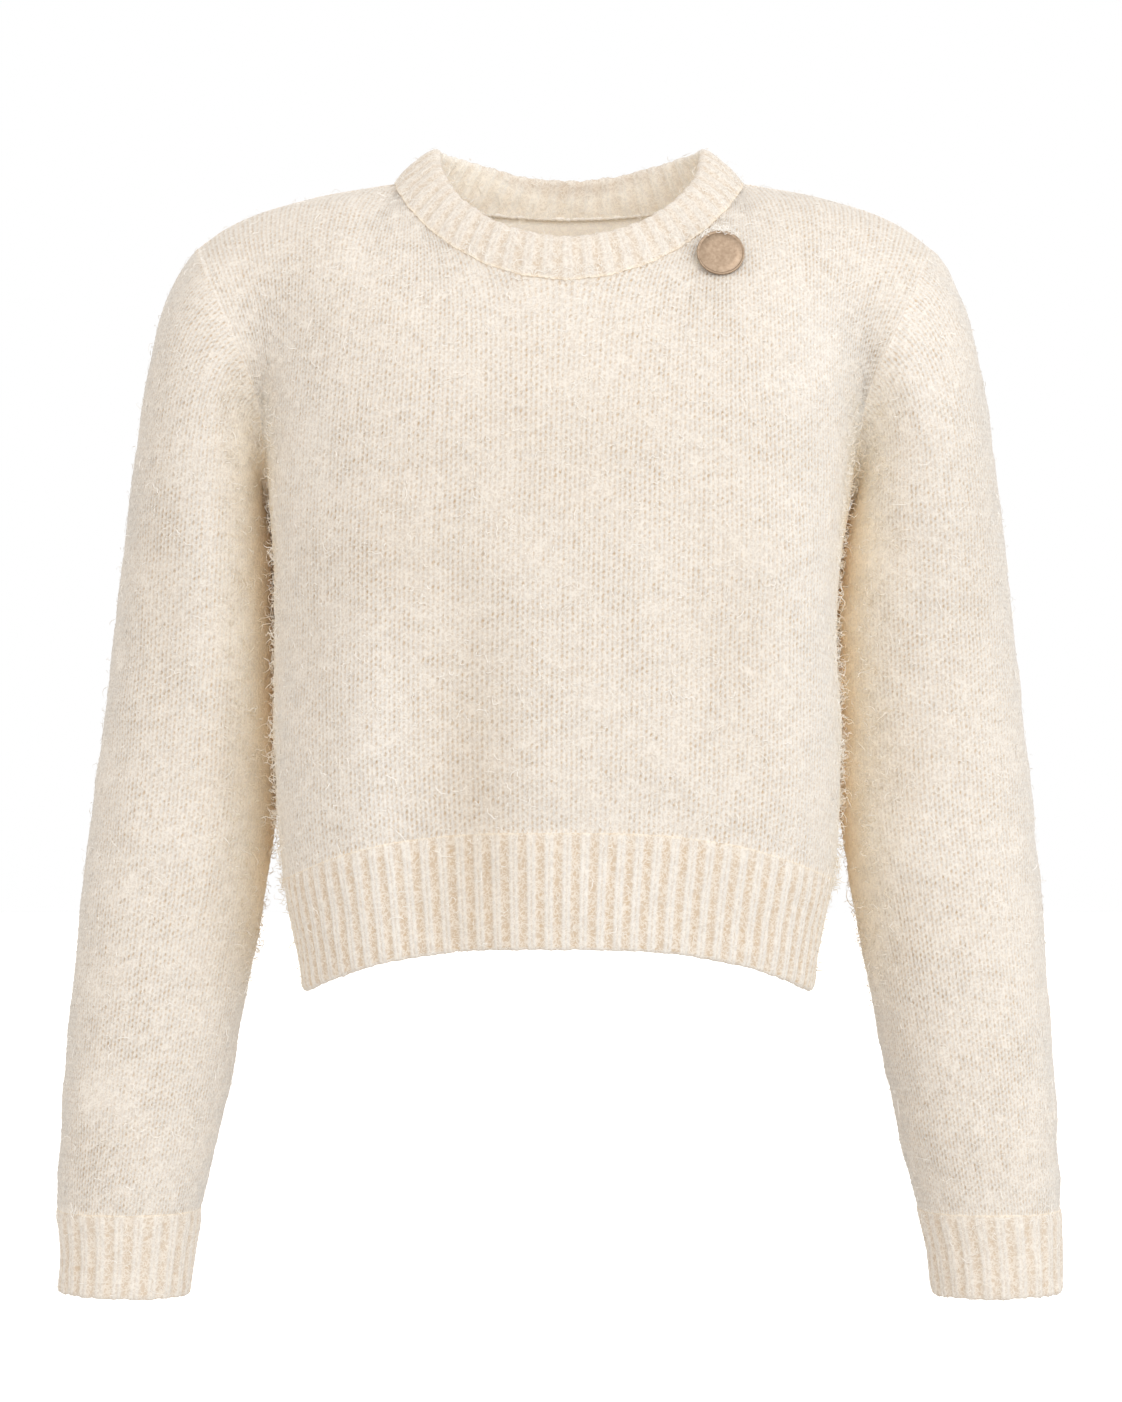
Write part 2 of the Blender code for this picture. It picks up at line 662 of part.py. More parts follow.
def make_material(name, colour, roughness, metallic):
    """A plain Principled material."""
    material = bpy.data.materials.new(name)
    material.use_nodes = True
    shader = material.node_tree.nodes["Principled BSDF"]
    shader.inputs["Base Color"].default_value = colour
    shader.inputs["Roughness"].default_value = roughness
    shader.inputs["Metallic"].default_value = metallic
    return material


def main():
    for thing in list(bpy.data.objects):
        bpy.data.objects.remove(thing, do_unlink=True)
    collection = bpy.data.collections.new(COLLECTION_NAME)
    bpy.context.scene.collection.children.link(collection)
    knit = make_material("brushed_knit", CREAM, 0.95, 0.0)
    ribbing = make_material("rib_knit", CREAM, 0.95, 0.0)
    brass = make_material("badge_metal", BRASS, 0.35, 1.0)

    front, back = panel_skin("front"), panel_skin("back")
    skins = {
        "front": {"points": front, "closed": False, "outward": 1},
        "back": {"points": back, "closed": False, "outward": -1},
        "sleeve_left": {"points": sleeve_skin(front, back, 1), "closed": True, "outward": -1},
        "sleeve_right": {"points": sleeve_skin(front, back, -1), "closed": True, "outward": 1},
    }
    shared_normals(list(skins.values()))
    for name, skin in skins.items():
        skin_wall(name, skin, knit, collection)

    lowest = [(skins[side]["points"][0], skins[side]["normals"][0]) for side in ("front", "back")]
    outside = [points for points, _ in lowest]
    inside = [points - normals * KNIT_THICKNESS for points, normals in lowest]
    make_hem((outside[0], inside[0]), (outside[1], inside[1]), ribbing, collection)
    make_cuff("cuff_left", skins["sleeve_left"], 1, ribbing, collection)
    make_cuff("cuff_right", skins["sleeve_right"], -1, ribbing, collection)
    make_collar(front[-1], back[-1], ribbing, collection)
    make_badge(front, brass, collection)


main()
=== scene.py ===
"""Cropped knit sweater, dressed: knitted stitches and ribs, a brushed halo, a plain badge, light and camera.

Sizes are in millimetres until a mesh is made. +X is the wearer's left, -Y the front and +Z up.
"""

import json
import math

import bpy
import numpy as np
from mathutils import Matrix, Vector
from mathutils.bvhtree import BVHTree

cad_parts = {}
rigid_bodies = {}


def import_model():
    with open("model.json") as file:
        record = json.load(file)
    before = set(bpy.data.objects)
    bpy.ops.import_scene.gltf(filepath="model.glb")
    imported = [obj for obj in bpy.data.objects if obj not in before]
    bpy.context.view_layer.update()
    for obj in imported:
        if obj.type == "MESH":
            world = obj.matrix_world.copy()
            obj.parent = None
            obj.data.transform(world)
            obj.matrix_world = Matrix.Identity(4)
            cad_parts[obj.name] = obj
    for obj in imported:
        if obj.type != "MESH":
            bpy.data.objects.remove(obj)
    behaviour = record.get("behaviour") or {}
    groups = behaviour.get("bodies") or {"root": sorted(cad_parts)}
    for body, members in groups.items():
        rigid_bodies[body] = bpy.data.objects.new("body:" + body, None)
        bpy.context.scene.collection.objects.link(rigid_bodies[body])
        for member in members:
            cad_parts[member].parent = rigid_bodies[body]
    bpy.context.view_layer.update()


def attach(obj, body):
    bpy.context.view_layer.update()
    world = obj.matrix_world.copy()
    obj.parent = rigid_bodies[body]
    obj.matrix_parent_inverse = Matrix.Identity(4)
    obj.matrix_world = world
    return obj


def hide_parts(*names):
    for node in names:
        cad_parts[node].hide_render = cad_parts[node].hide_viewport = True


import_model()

MM = 0.001

# Thickness of the knitted walls, and the ribs of each band
KNIT_THICKNESS = 2.4
COLLAR_RIBS = 50
HEM_RIBS = 90
CUFF_RIBS = 24

# Grid of a body panel, and points of a dense curve
SHOULDER_COLUMNS = 6
NECK_COLUMNS = 14
ARMHOLE_ROWS = 10
DENSE = 240

# Body below the armholes, one row for each section from the hem rib up
BODY_SECTIONS = {
    "columns": ("z_side", "z_front", "z_back", "half_width", "y_front", "y_back", "squareness"),
    "rib join": (-386, -357.5, -362, 155, -112, 98, 3),
    "low": (-345, -321, -326, 158.8, -117, 101, 2.9),
    "waist": (-300, -280, -284, 160.5, -120, 103, 2.8),
    "under bust": (-255, -240, -244, 160.5, -123, 104, 2.7),
    "bust": (-215, -204, -208, 161.5, -124, 105, 2.7),
    "under arm": (-188, -178, -183, 163, -123, 106, 2.6),
    "armpit": (-170, -160, -166, 165, -121, 106, 2.5),
}
SIDE_SEAM_Y = -6.0
ARMPIT_ROW = len(BODY_SECTIONS) - 2

# Points of the shoulder seam, from the neck to the shoulder tip
SHOULDER_SEAM = ((98, 2, 9), (122, 5, 6), (150, 7, 0.5), (186, 7, -11.5), (210, 6, -28))

# Points of the armhole seams, from the armpit over the chest or shoulder blade to the shoulder tip
ARMHOLES = {
    "front": (
        (165, -6, -170), (167.5, -28, -146), (171, -40, -118), (182, -54, -88),
        (195, -47, -60), (205, -26, -38), (210, 6, -28),
    ),
    "back": (
        (165, -6, -170), (167.5, 18, -144), (171, 45, -116), (181, 62, -86),
        (195, 57, -57), (205, 40, -37), (210, 6, -28),
    ),
}
ARMHOLE_PULL = 4.0

# Neckline seam and the collar's top edge, in halves: how far each reaches forward or back at its middle,
# and how far it dips there from its height at the shoulders
NECK_CURVES = {
    "columns": ("half_width", "z_side", "reach", "roundness", "drop", "power"),
    "front seam": (98, 9, -94, 0.92, 63, 1.45),
    "back seam": (98, 9, 60, 0.9, 13, 1.3),
    "front edge": (76, 29.5, -83, 0.92, 58, 1.1),
    "back edge": (76, 29.5, 54, 0.9, 12.8, 3),
}

# Section of the collar's band, from its outer seam over the top edge to its inner seam: share of the way up
# and distance out from the neckline's surface
COLLAR_OUTLINE = (
    (0, 1), (0.42, 1.9), (0.86, 1.2), (0.99, -0.5), (1, -2.6), (0.9, -4), (0.45, -4.6), (0, -3.6),
)

# How a panel rounds over from the armpit's level to its top edge
CHEST_ROLL = 0.15
CHEST_CURVE = 1.7
ROLL_START = 0.1
ROLL_END = 0.75
TOP_SOFTENING = 10
TOP_REACH = 5.0
SHOULDER_SQUARENESS = 2.4

# The neck sits a little to the wearer's left and the hem a little to the right
NECK_SHIFT = 5.6
HEM_SHIFT = -2.4
SHIFT_REACH = 240.0
SHIFT_LOW_Z = -330.0
SHIFT_HIGH_Z = 10.0

# Sleeve, one row for each ring from the upper arm to the cuff: where its outer and inner edges hang, and how
# far the outer edges of both lean to the wearer's left
SLEEVE_RINGS = {
    "columns": ("z", "outer", "inner", "y_middle", "half_depth", "lean"),
    "upper arm": (-208, 252.9, 162.8, 18, 66, 2.4),
    "above elbow": (-252, 258.2, 161.6, 23, 64, 2.4),
    "elbow": (-300, 263.9, 161.4, 24, 61.5, 2.2),
    "below elbow": (-343, 269.1, 161.8, 23, 59, 1.6),
    "forearm": (-388, 274, 167.6, 21, 56.5, 1.1),
    "mid forearm": (-433, 277.8, 175.8, 18, 54, 0.5),
    "low forearm": (-479, 281.4, 184, 15, 51, 0),
    "above wrist": (-524, 284.8, 193, 11, 48, -0.4),
    "wrist": (-556, 286, 200.5, 8.5, 45, -0.5),
    "cuff join": (-575, 286.3, 204.8, 7.5, 42, -0.5),
}
SLEEVE_SQUARENESS = 2.2
SLEEVE_HEAD_STEPS = (0.12, 0.26, 0.42, 0.6, 0.8)
HEAD_HANDLE = 0.19
ARM_HANDLE = 0.62

# Which way the sleeve leaves the armhole seam, at its armpit, crease, chest or shoulder blade, and tip
SLEEVE_HEADS = {
    "front": ((0.74, 0.05, -0.67), (0.68, -0.3, -0.67), (0.72, -0.1, -0.68), (0.65, 0, -0.76)),
    "back": ((0.74, 0.05, -0.67), (0.68, 0.3, -0.67), (0.72, 0.1, -0.68), (0.65, 0, -0.76)),
}

# Cuff and hem rib below their joins
CUFF_RINGS = {
    "columns": ("z", "outer", "inner", "y_middle", "half_depth"),
    "middle": (-597, 285, 209.8, 6, 38.5),
    "edge": (-621.5, 285.6, 212.4, 5.5, 37.5),
}
CUFF_TILT = 2.0
HEM_SECTIONS = {
    "columns": BODY_SECTIONS["columns"],
    "middle": (-417, -389, -394, 148.3, -110, 95, 3),
    "edge": (-448.5, -421.5, -427, 143.2, -107, 92, 3),
}

# Which way along Y each panel faces
OUTWARD = {"front": -1.0, "back": 1.0}

# Soft drape folds of a panel: where each is, its half sizes, and its height, less than zero for a trough.
# They fade out near the side seams by this power
FOLDS = {
    "front": {
        "columns": ("x", "z", "half_width", "half_length", "height"),
        "left ridge": (-104, -275, 20, 60, 2.5),
        "left trough": (-46, -270, 18, 75, -2.8),
        "right trough": (72, -205, 24, 55, -1.8),
        "right ridge": (128, -215, 18, 55, 1.6),
    },
    "back": {
        "columns": ("x", "z", "half_width", "half_length", "height"),
        "left trough": (-70, -260, 22, 70, -2.6),
        "middle ridge": (6, -285, 22, 60, 2),
        "right trough": (82, -240, 20, 65, -2.2),
    },
}
FOLD_SPREAD = 8

# Soft creases of the worn cloth, on the body or on a sleeve: the middle of each in x, y and z, its reach, how
# far the cloth moves there, and its painted light and shade: how much lighter its colour is painted there,
# darker below zero
CREASES = {
    "body": (
        (-48, -118, -335, 23, 60, 105, 0, 3.4, 0, -0.95),
        (-101, -112, -345, 18, 60, 95, 0, -2.6, 0, 0.45),
        (-92, -90, -205, 32, 60, 45, 0, 1.2, 0, -0.5),
        (-140, -85, -240, 16, 50, 60, 0.8, 1.6, 0, -0.3),
        (94, -110, -250, 26, 60, 75, 0, 2.2, 0, -0.4),
        (139, -85, -225, 16, 50, 65, 0, -1.6, 0, 0.2),
        (30, -115, -400, 38, 60, 45, 0, -1.6, 0, 0.25),
        (5, -112, -150, 70, 60, 60, 0, -0.8, 0, -0.3),
        (162, -20, -235, 22, 60, 50, -4, 0, 0, 0),
        (146, -65, -95, 24, 60, 45, 0, -0.8, 0, 0.3),
        (-60, 104, -300, 20, 60, 100, 0, -2.8, 0, -0.6),
        (-104, 98, -320, 20, 60, 90, 0, 2.2, 0, 0.4),
        (74, 102, -285, 22, 60, 90, 0, -2.4, 0, -0.5),
        (120, 92, -300, 18, 50, 80, 0, 1.8, 0, 0.3),
        # Painted shadow round the badge, with no move of the cloth
        (84, -85, -45, 16, 60, 17, 0, 0, 0, -0.35),
    ),
    "left": (
        (232, -30, -215, 14, 45, 75, -0.8, 1.8, 0, -0.25),
        (187, -40, -100, 26, 60, 50, 0, -0.8, 0, 0.45),
        (186, -32, -325, 20, 40, 26, 0, 2, 0, -0.35),
        (200, -34, -362, 30, 45, 22, 0, -1.6, 0, 0.2),
        (163, -5, -235, 24, 60, 50, -3.6, 0, 0, 0),
        # Painted shade on the sleeve beside its crease with the body, with no move of the cloth
        (168, -25, -208, 9, 60, 40, 0, 0, 0, -0.25),
        (215, 72, -300, 40, 40, 20, 0, -2.4, 0, -0.3),
        (215, 74, -340, 40, 40, 20, 0, 2, 0, 0.25),
        (262, 10, -540, 50, 60, 14, -1.2, -0.4, 0, -0.2),
    ),
    "right": (
        (-224, -30, -215, 15, 45, 85, 0.8, 2.2, 0, -0.4),
        # Painted shade on the sleeve beside its crease with the body, with no move of the cloth
        (-172, -25, -175, 10, 60, 48, 0, 0, 0, -1),
        (-167, -25, -230, 7, 60, 60, 0, 0, 0, -0.9),
        (-196, -34, -225, 12, 45, 70, 0, -1.2, 0, 0.25),
        (-176, -26, -328, 18, 40, 30, 0, 2.6, 0, -0.5),
        (-196, -34, -366, 30, 45, 22, 0, -1.6, 0, 0.2),
        (-215, 72, -296, 40, 40, 20, 0, -2.4, 0, -0.3),
        (-215, 74, -336, 40, 40, 20, 0, 2, 0, 0.25),
        (-262, 10, -536, 50, 60, 14, 1.2, -0.4, 0, -0.2),
    ),
}

# Knit: stitches across a panel and round a sleeve, four columns of points to a stitch and two rows to a
# course, SAMPLES rows of a sheet to each row of its skin. Each row of a stitch has how high and how shaded its
# four points are, and each column how far along it is moved
PANEL_WALES = 85
SLEEVE_WALES = 72
LEGS = 4
COURSE = 3.4
SAMPLES = 12
ZIGZAG = np.array([0.25, 0.0, -0.25, 0.0])
LEG_HEIGHT = np.array([[-0.18, 0.40, -0.15, 0.40], [-0.75, 0.20, -0.70, 0.20]])
LEG_SHADE = np.array([[0.48, 0.0, 0.43, 0.0], [0.9, 0.1, 0.85, 0.1]])

# Height of the stitches, how much it differs between them, and the soft waves of it and of the cloth: the
# size, length and seed of each. The sideways noise of the points comes in over this reach from the borders
STITCH_HEIGHT = 0.85
STITCH_UNEVEN = 0.22
FINE_UNEVEN = 0.05
STITCH_WAVES = ((0.12, 60, 1), (0.1, 14, 4))
CLOTH_WAVES = ((0.3, 42, 2), (0.12, 17, 3))
STILL_REACH = 1.5
COLUMN_PITCH = 1.1

# The plain inside of a knitted wall: its columns and rows, and what its points carry for the material: little
# painted shade, some painted bounce light and painted light that makes it lighter
INNER_STRIDE = 8
INNER_PITCH = 13.6
INNER_SHADE = 0.02
INNER_PAINTED_BOUNCE = 0.45
INNER_PAINTED_LIGHT = 0.85

# Seams of a knitted wall: how near them the stitches flatten, and how far its border runs on into them
SEAM_REACH = 1.8
SEAM_JOIN = 0.25

# One rib of a band, read across: where its columns of points stand, how high and how shaded each is
RIB_PLACES = np.array([0.0, 0.085, 0.167, 0.25, 0.333, 0.46, 0.667, 0.875])
RIB_LIFT = np.array([1.15, 1.05, 0.8, 1.05, 1.15, 0.45, 0.0, 0.45])
RIB_SHADE = np.array([0.05, 0.1, 0.5, 0.1, 0.05, 0.75, 0.9, 0.75])
RIB_CONTRAST = {"hem_rib": 0.8, "cuff_left": 0.55, "cuff_right": 0.55, "collar": 0.38}

# A band folded at its edge: radius and steps of the fold, points of each side, rings that its shape is made
# of, the row that tells which way is out, the shortest last step, how far the painted bounce light in the
# crevice of its seam reaches and its waves
BAND_ROUND = 1.3
BAND_TURNS = 7
BAND_SAMPLES = 60
BAND_RINGS = 41
BAND_LOOK = 10
BAND_LEAST = 0.3
BAND_SEAM = 1.5
BAND_WAVES = ((0.25, 25, 2),)
HEM_POINTS = 600
CUFF_POINTS = 480
COLLAR_SAMPLES = 9
COLLAR_DROP = 0.7

# Share of the ribs' height along a band, and along the collar
BAND_STRENGTH = ((0.0, 0.06, 0.46, 0.5, 0.54, 0.9, 1.0), (0.25, 1.0, 1.0, 0.45, 0.5, 0.5, 0.0))
COLLAR_STRENGTH = ((0.0, 0.04, 0.36, 0.46, 0.56, 0.66, 0.97, 1.0), (0.8, 1.0, 1.0, 0.45, 0.5, 0.9, 0.9, 0.3))

# How open to the light a place is, found with rays this long from points this far apart on the sheets
RAY_COUNT = 48
RAY_LENGTH = 160.0
RAY_LIFT = 3.0
RAY_STRIDE = 8

# How open a place may be before the painted shade between the knit's yarns fades, as painted light that makes
# a crease lighter, the halo thickens, its hairs lean over the crease, they darken with painted shade and the
# halo thins again, and over how much less openness each of these comes in full. Then how much each is
PAINTED_LIGHT_RANGE = (0.75, 0.4)
THICK_RANGE = (0.85, 0.25)
LEAN_RANGE = (0.8, 0.25)
PAINTED_SHADE_RANGE = (0.9, 0.35)
DEEP_RANGE = (0.35, 0.2)
CREASE_PAINTED_LIGHT = 0.7
BAND_PAINTED_LIGHT = 0.28
CREASE_LEAN = 1.3
CREASE_LONGER = 0.1
CREASE_HIGHER = 0.6
CREASE_THICKER = 5

# Hairs: how many each piece has, and of one its parts, longest and least length, typical height, width,
# height of its foot, how much it bends and sways in radians and the share of its width that it loses
HAIRS = {
    "front": 5600, "back": 4300, "sleeve_left": 4200, "sleeve_right": 4200,
    "collar": 1800, "hem_rib": 1750, "cuff_left": 450, "cuff_right": 450,
}
HAIR_PARTS = 5
HAIR_LONGEST = 12.5
HAIR_LEAST = 2.5
HAIR_STAND = 0.8
HAIR_WIDTH = 0.4
HAIR_FOOT = 0.05
HAIR_BEND = 2.6
HAIR_SWAY = 0.9
HAIR_TAPER = 0.45

# How far over its sheet a halo starts, the borders where it is thicker, as columns of a panel and length of a
# band, and by how much
KNIT_RAISED = 0.45
BAND_RAISED = 0.9
BORDER_COLUMNS = 6
BORDER_REACH = 6.0
SIDE_THICKER = 1.8
JOIN_THICKER = 4

# Badge: its middle in x and z, how far round it the front has no hairs, its sides, the radius of its rim, how
# much more upright than the CAD it stands in degrees, turned about the foot of the rim, and its profile:
# distance from the middle and height over its mid plane
BADGE_PLACE = (88.0, -40.4)
BADGE_CLEAR = 14.2
BADGE_STEPS = 96
BADGE_RIM = 13.1
BADGE_UPRIGHT = 8.0
BADGE_PROFILE = (
    (0.0, 0.8), (4.0, 0.8), (8.0, 0.8), (11.4, 0.78), (11.75, 0.5), (12.05, 0.48), (12.35, 0.85), (12.7, 1.0),
    (13.0, 0.92), (13.18, 0.75), (13.25, 0.45), (13.25, -0.45), (13.1, -0.85), (12.7, -1.0), (6.0, -1.0),
    (0.0, -1.0),
)

# Hairs of the tuft over the badge: how many, and their longest length, typical height and width
TUFT_HAIRS = 70
TUFT_SIZES = (5.5, 0.5, 0.5)

# The linking seam inside the neck: how far in from the collar's seam and below it, how finely made, its two
# radii in turn and what its points carry for the material: little painted shade, some painted bounce light and
# painted light that makes it lighter
SEAM_IN = 3.3
SEAM_DOWN = 0.9
SEAM_POINTS = 240
SEAM_SIDES = 5
SEAM_RADII = (0.95, 1.5)
SEAM_VALUES = {"shade": 0.1, "depth": 0.3, "painted_shading": 1.0}

# Painted bounce light: what the wool's colour is multiplied by where little light reaches it, lighter and
# warmer; and how much each channel of it gains where a crease's painted light and shade makes it lighter
PAINTED_BOUNCE_TINT = (1.21, 1.17, 1.05, 1.0)
PAINTED_SHADING_GAIN = (0.12, 0.15, 0.19)
FIBRE_COLOUR = (0.93, 0.88, 0.81, 1.0)

# Height of the underarm, below which the rows of a panel or sleeve are kept when the widths of its cut are
# worked out
UNDERARM = -150.0

# The world's light on the sweater
WORLD_STRENGTH = 0.73
WORLD_COLOUR = (1.0, 0.962, 0.905, 1.0)

# Where the key light stands and what it aims at, in metres
KEY_PLACE = (1.5, -2.2, 1.5)
KEY_TARGET = (0.05, 0.0, -0.2)

# Suns: strength, spread, azimuth and elevation in degrees, and colour
SUNS = {
    "overhead": (0.15, 70, 0, 90, (1.0, 1.0, 1.0)),
    "back": (0.6, 90, 180, 20, (1.0, 1.0, 1.0)),
    "front": (0.76, 80, 5, 20, (1.0, 1.0, 1.0)),
    "right": (0.85, 90, 60, 10, (0.91, 0.965, 1.0)),
    "left": (0.4, 90, -60, 10, (1.0, 0.94, 0.86)),
}

# The photo's height and the row of the part's origin in pixels, the size of a pixel in millimetres, the
# camera's distance in metres and its sensor, and the floor's half size and height in metres
PHOTO_HIGH = 1402
ORIGIN_ROW = 200
PIXEL = 0.57
CAMERA_FAR = 2.6
SENSOR = 36.0
FLOOR_HALF = 8.0
FLOOR_Z = -0.78

# Seeds of the random draws, one step further for each piece
KNIT_SEED = 100
BAND_SEED = 200
COLLAR_SEED = 300
HALO_SEED = 400
TUFT_SEED = 77
SEED_STEP = 10

MAP_NAME = "OFBake"
KNITTED = ("front", "back", "sleeve_left", "sleeve_right")
BANDS = ("hem_rib", "cuff_left", "cuff_right", "collar")


def rows_of(table):
    """Each row of a table as a dictionary of its named columns."""
    return [dict(zip(table["columns"], row)) for key, row in table.items() if key != "columns"]


def lengths(points):
    """Distance along a polyline to each of its points."""
    steps = np.linalg.norm(np.diff(points, axis=0), axis=1)
    return np.concatenate([[0.0], np.cumsum(steps)])


def interpolated(wanted, along, values):
    """Lines of values that are known at places along a line, at the wanted places."""
    return np.stack([np.interp(wanted, along, part) for part in values.T], axis=1)


def at_lengths(points, wanted):
    """Points at the wanted distances along a polyline."""
    return interpolated(wanted, lengths(points), points)


def evenly(points, count):
    """The polyline as count equal steps."""
    return at_lengths(points, np.linspace(0.0, lengths(points)[-1], count + 1))


def at_shares(ring, shares):
    """Points of a closed ring at shares of its length."""
    closed = np.concatenate([ring, ring[:1]])
    return at_lengths(closed, shares * lengths(closed)[-1])


def catmull(points, places, closed=False):
    """Points of a smooth curve through the rows of an array, at fractional rows."""
    count = len(points)
    before = np.floor(places).astype(int)
    if closed:
        corners = [points[(before + step) % count] for step in (-1, 0, 1, 2)]
    else:
        before = np.clip(before, 0, count - 2)
        padded = np.concatenate([2 * points[:1] - points[1:2], points, 2 * points[-1:] - points[-2:-1]])
        corners = [padded[before + step] for step in (0, 1, 2, 3)]
    u = (places - before).reshape((-1,) + (1,) * (points.ndim - 1))
    a, b, c, d = corners
    return b + u * ((c - a) + u * ((2 * a - 5 * b + 4 * c - d) + u * (3 * b - a - 3 * c + d))) / 2


def refined(points, samples):
    """A smooth curve through the points, with samples steps from each to the next."""
    return catmull(points, np.linspace(0, len(points) - 1, (len(points) - 1) * samples + 1))


def smooth(points):
    """A dense smooth curve through some points."""
    return refined(np.array(points, dtype=float), DENSE // len(points))


def unit(vectors):
    """Vectors scaled to length one."""
    return vectors / np.maximum(np.linalg.norm(vectors, axis=-1, keepdims=True), 1e-9)


def ring_directions(ring):
    """The way along a closed ring at each of its points."""
    return unit(np.roll(ring, -1, axis=0) - np.roll(ring, 1, axis=0))


def signed_power(value, power):
    """A power that keeps the sign."""
    return np.sign(value) * np.abs(value) ** power


def joined_halves(front, back):
    """A closed ring from its front and back halves, each from -X to +X."""
    return np.concatenate([front[:-1], back[:0:-1]])


def ripple(points, reach, seed, waves=16):
    """A smooth random field of about unit size, whose waves are about as long as reach."""
    random = np.random.default_rng(seed)
    ways = unit(random.normal(size=(waves, 3)))
    turns = ways * (2 * math.pi / reach) * random.uniform(0.6, 1.6, (waves, 1))
    phases = random.uniform(0, 2 * math.pi, waves)
    return np.sin(points @ turns.T + phases).sum(axis=-1) / math.sqrt(waves / 2)


def closed_in(clear, limits):
    """How closed in a place is: 0 from the first openness on, and 1 where it is less by the second."""
    return np.clip((limits[0] - clear) / limits[1], 0, 1)


def waved(points, waves, seed):
    """The sum of some ripples, each with its size, the length of its waves and what is added to the seed."""
    return sum(size * ripple(points, reach, seed + more) for size, reach, more in waves)


def half_section(sizes, side):
    """Half of a body section, from the seam at -X to the seam at +X: side is front or back."""
    angle = np.linspace(-math.pi / 2, math.pi / 2, DENSE)
    power = 2 / sizes["squareness"]
    x = sizes["half_width"] * signed_power(np.sin(angle), power)
    y = SIDE_SEAM_Y + (sizes["y_" + side] - SIDE_SEAM_Y) * signed_power(np.cos(angle), power)
    z = sizes["z_side"] + (sizes["z_" + side] - sizes["z_side"]) * np.cos(angle) ** 2
    return np.stack([x, y, z], axis=1)


def neck_curve(name):
    """Half of a closed curve round the neck, from the shoulder at -X to the one at +X."""
    sizes = dict(zip(NECK_CURVES["columns"], NECK_CURVES[name]))
    angle = np.linspace(-math.pi / 2, math.pi / 2, DENSE)
    cosine = np.abs(np.cos(angle))
    x = sizes["half_width"] * np.sin(angle)
    y = SHOULDER_SEAM[0][1] + sizes["reach"] * cosine ** sizes["roundness"]
    z = sizes["z_side"] - sizes["drop"] * cosine ** sizes["power"]
    return np.stack([x, y, z], axis=1)


def top_edge(side):
    """A panel's top edge, from the tip at -X along shoulder, neckline and shoulder to the tip at +X."""
    neckline = evenly(neck_curve(side + " seam"), NECK_COLUMNS)
    shoulder = evenly(smooth(SHOULDER_SEAM), SHOULDER_COLUMNS)
    mirrored = shoulder[::-1] * (-1, 1, 1)
    return np.concatenate([mirrored[:-1], neckline, shoulder[1:]])


def fold_height(table, x, z):
    """How far the drape folds stand out at a place on a panel."""
    total = np.zeros_like(x)
    for fold in rows_of(table):
        across = ((x - fold["x"]) / fold["half_width"]) ** 2
        along = ((z - fold["z"]) / fold["half_length"]) ** 2
        total += fold["height"] * np.exp(-across - along)
    return total


def shifted(points):
    """Points moved sideways: to the wearer's left towards the neck, and a little to the right low down."""
    rise = np.clip((points[..., 2] - SHIFT_LOW_Z) / (SHIFT_HIGH_Z - SHIFT_LOW_Z), 0.0, 1.0)
    near_middle = np.exp(-((points[..., 0] / SHIFT_REACH) ** 2))
    moved = points.copy()
    moved[..., 0] += (HEM_SHIFT + (NECK_SHIFT - HEM_SHIFT) * rise**2) * near_middle
    return moved


def panel_skin(side):
    """Outer points of the front or back, as rows from the hem rib up and columns from -X to +X."""
    columns = 2 * SHOULDER_COLUMNS + NECK_COLUMNS
    low_rows = [evenly(half_section(sizes, side), columns) for sizes in rows_of(BODY_SECTIONS)]
    foot = low_rows[-1]
    top = top_edge(side)
    soft_top = top.copy()
    for _ in range(TOP_SOFTENING):
        soft_top[1:-1] = (soft_top[:-2] + 2 * soft_top[1:-1] + soft_top[2:]) / 4
    place = np.linspace(-1.0, 1.0, columns + 1)
    outer_share = np.clip((np.abs(place) - ROLL_START) / (ROLL_END - ROLL_START), 0.0, 1.0)
    roll = CHEST_ROLL + (1 - CHEST_ROLL) * outer_share**2 * (3 - 2 * outer_share)
    armhole = evenly(smooth(ARMHOLES[side]), ARMHOLE_ROWS)
    pull = (np.abs(place) ** ARMHOLE_PULL)[:, None]
    power = 2 / SHOULDER_SQUARENESS
    high_rows = []
    for step in range(1, ARMHOLE_ROWS + 1):
        share = step / ARMHOLE_ROWS
        angle = share * math.pi / 2
        level = np.full_like(roll, share)
        back = (1 - roll) * share**CHEST_CURVE + roll * (1 - math.cos(angle) ** power)
        rise = (1 - roll) * share + roll * math.sin(angle) ** power
        row = foot + (soft_top - foot) * np.stack([level, back, rise], axis=1)
        row += (top - soft_top) * share**TOP_REACH
        edge = armhole[step]
        row += pull * np.where(place[:, None] > 0, edge - row[-1], edge * (-1, 1, 1) - row[0])
        high_rows.append(row)
    grid = np.array(low_rows + high_rows)
    inside = grid[:-1, 1:-1]
    clear_of_seams = 1 - place[1:-1] ** FOLD_SPREAD
    folds = fold_height(FOLDS[side], inside[..., 0], inside[..., 2])
    inside[..., 1] += OUTWARD[side] * clear_of_seams * folds
    return shifted(grid)


def sleeve_ring(sizes, count):
    """A level ring of the sleeve at +X, from its inner side over the front, outer side and back."""
    angle = np.arange(count) * 2 * math.pi / count
    power = 2 / SLEEVE_SQUARENESS
    half_width = (sizes["outer"] - sizes["inner"]) / 2
    middle = (sizes["outer"] + sizes["inner"]) / 2
    x = middle - half_width * signed_power(np.cos(angle), power)
    y = sizes["y_middle"] - sizes["half_depth"] * signed_power(np.sin(angle), power)
    return np.stack([x, y, np.full(count, sizes["z"])], axis=1)


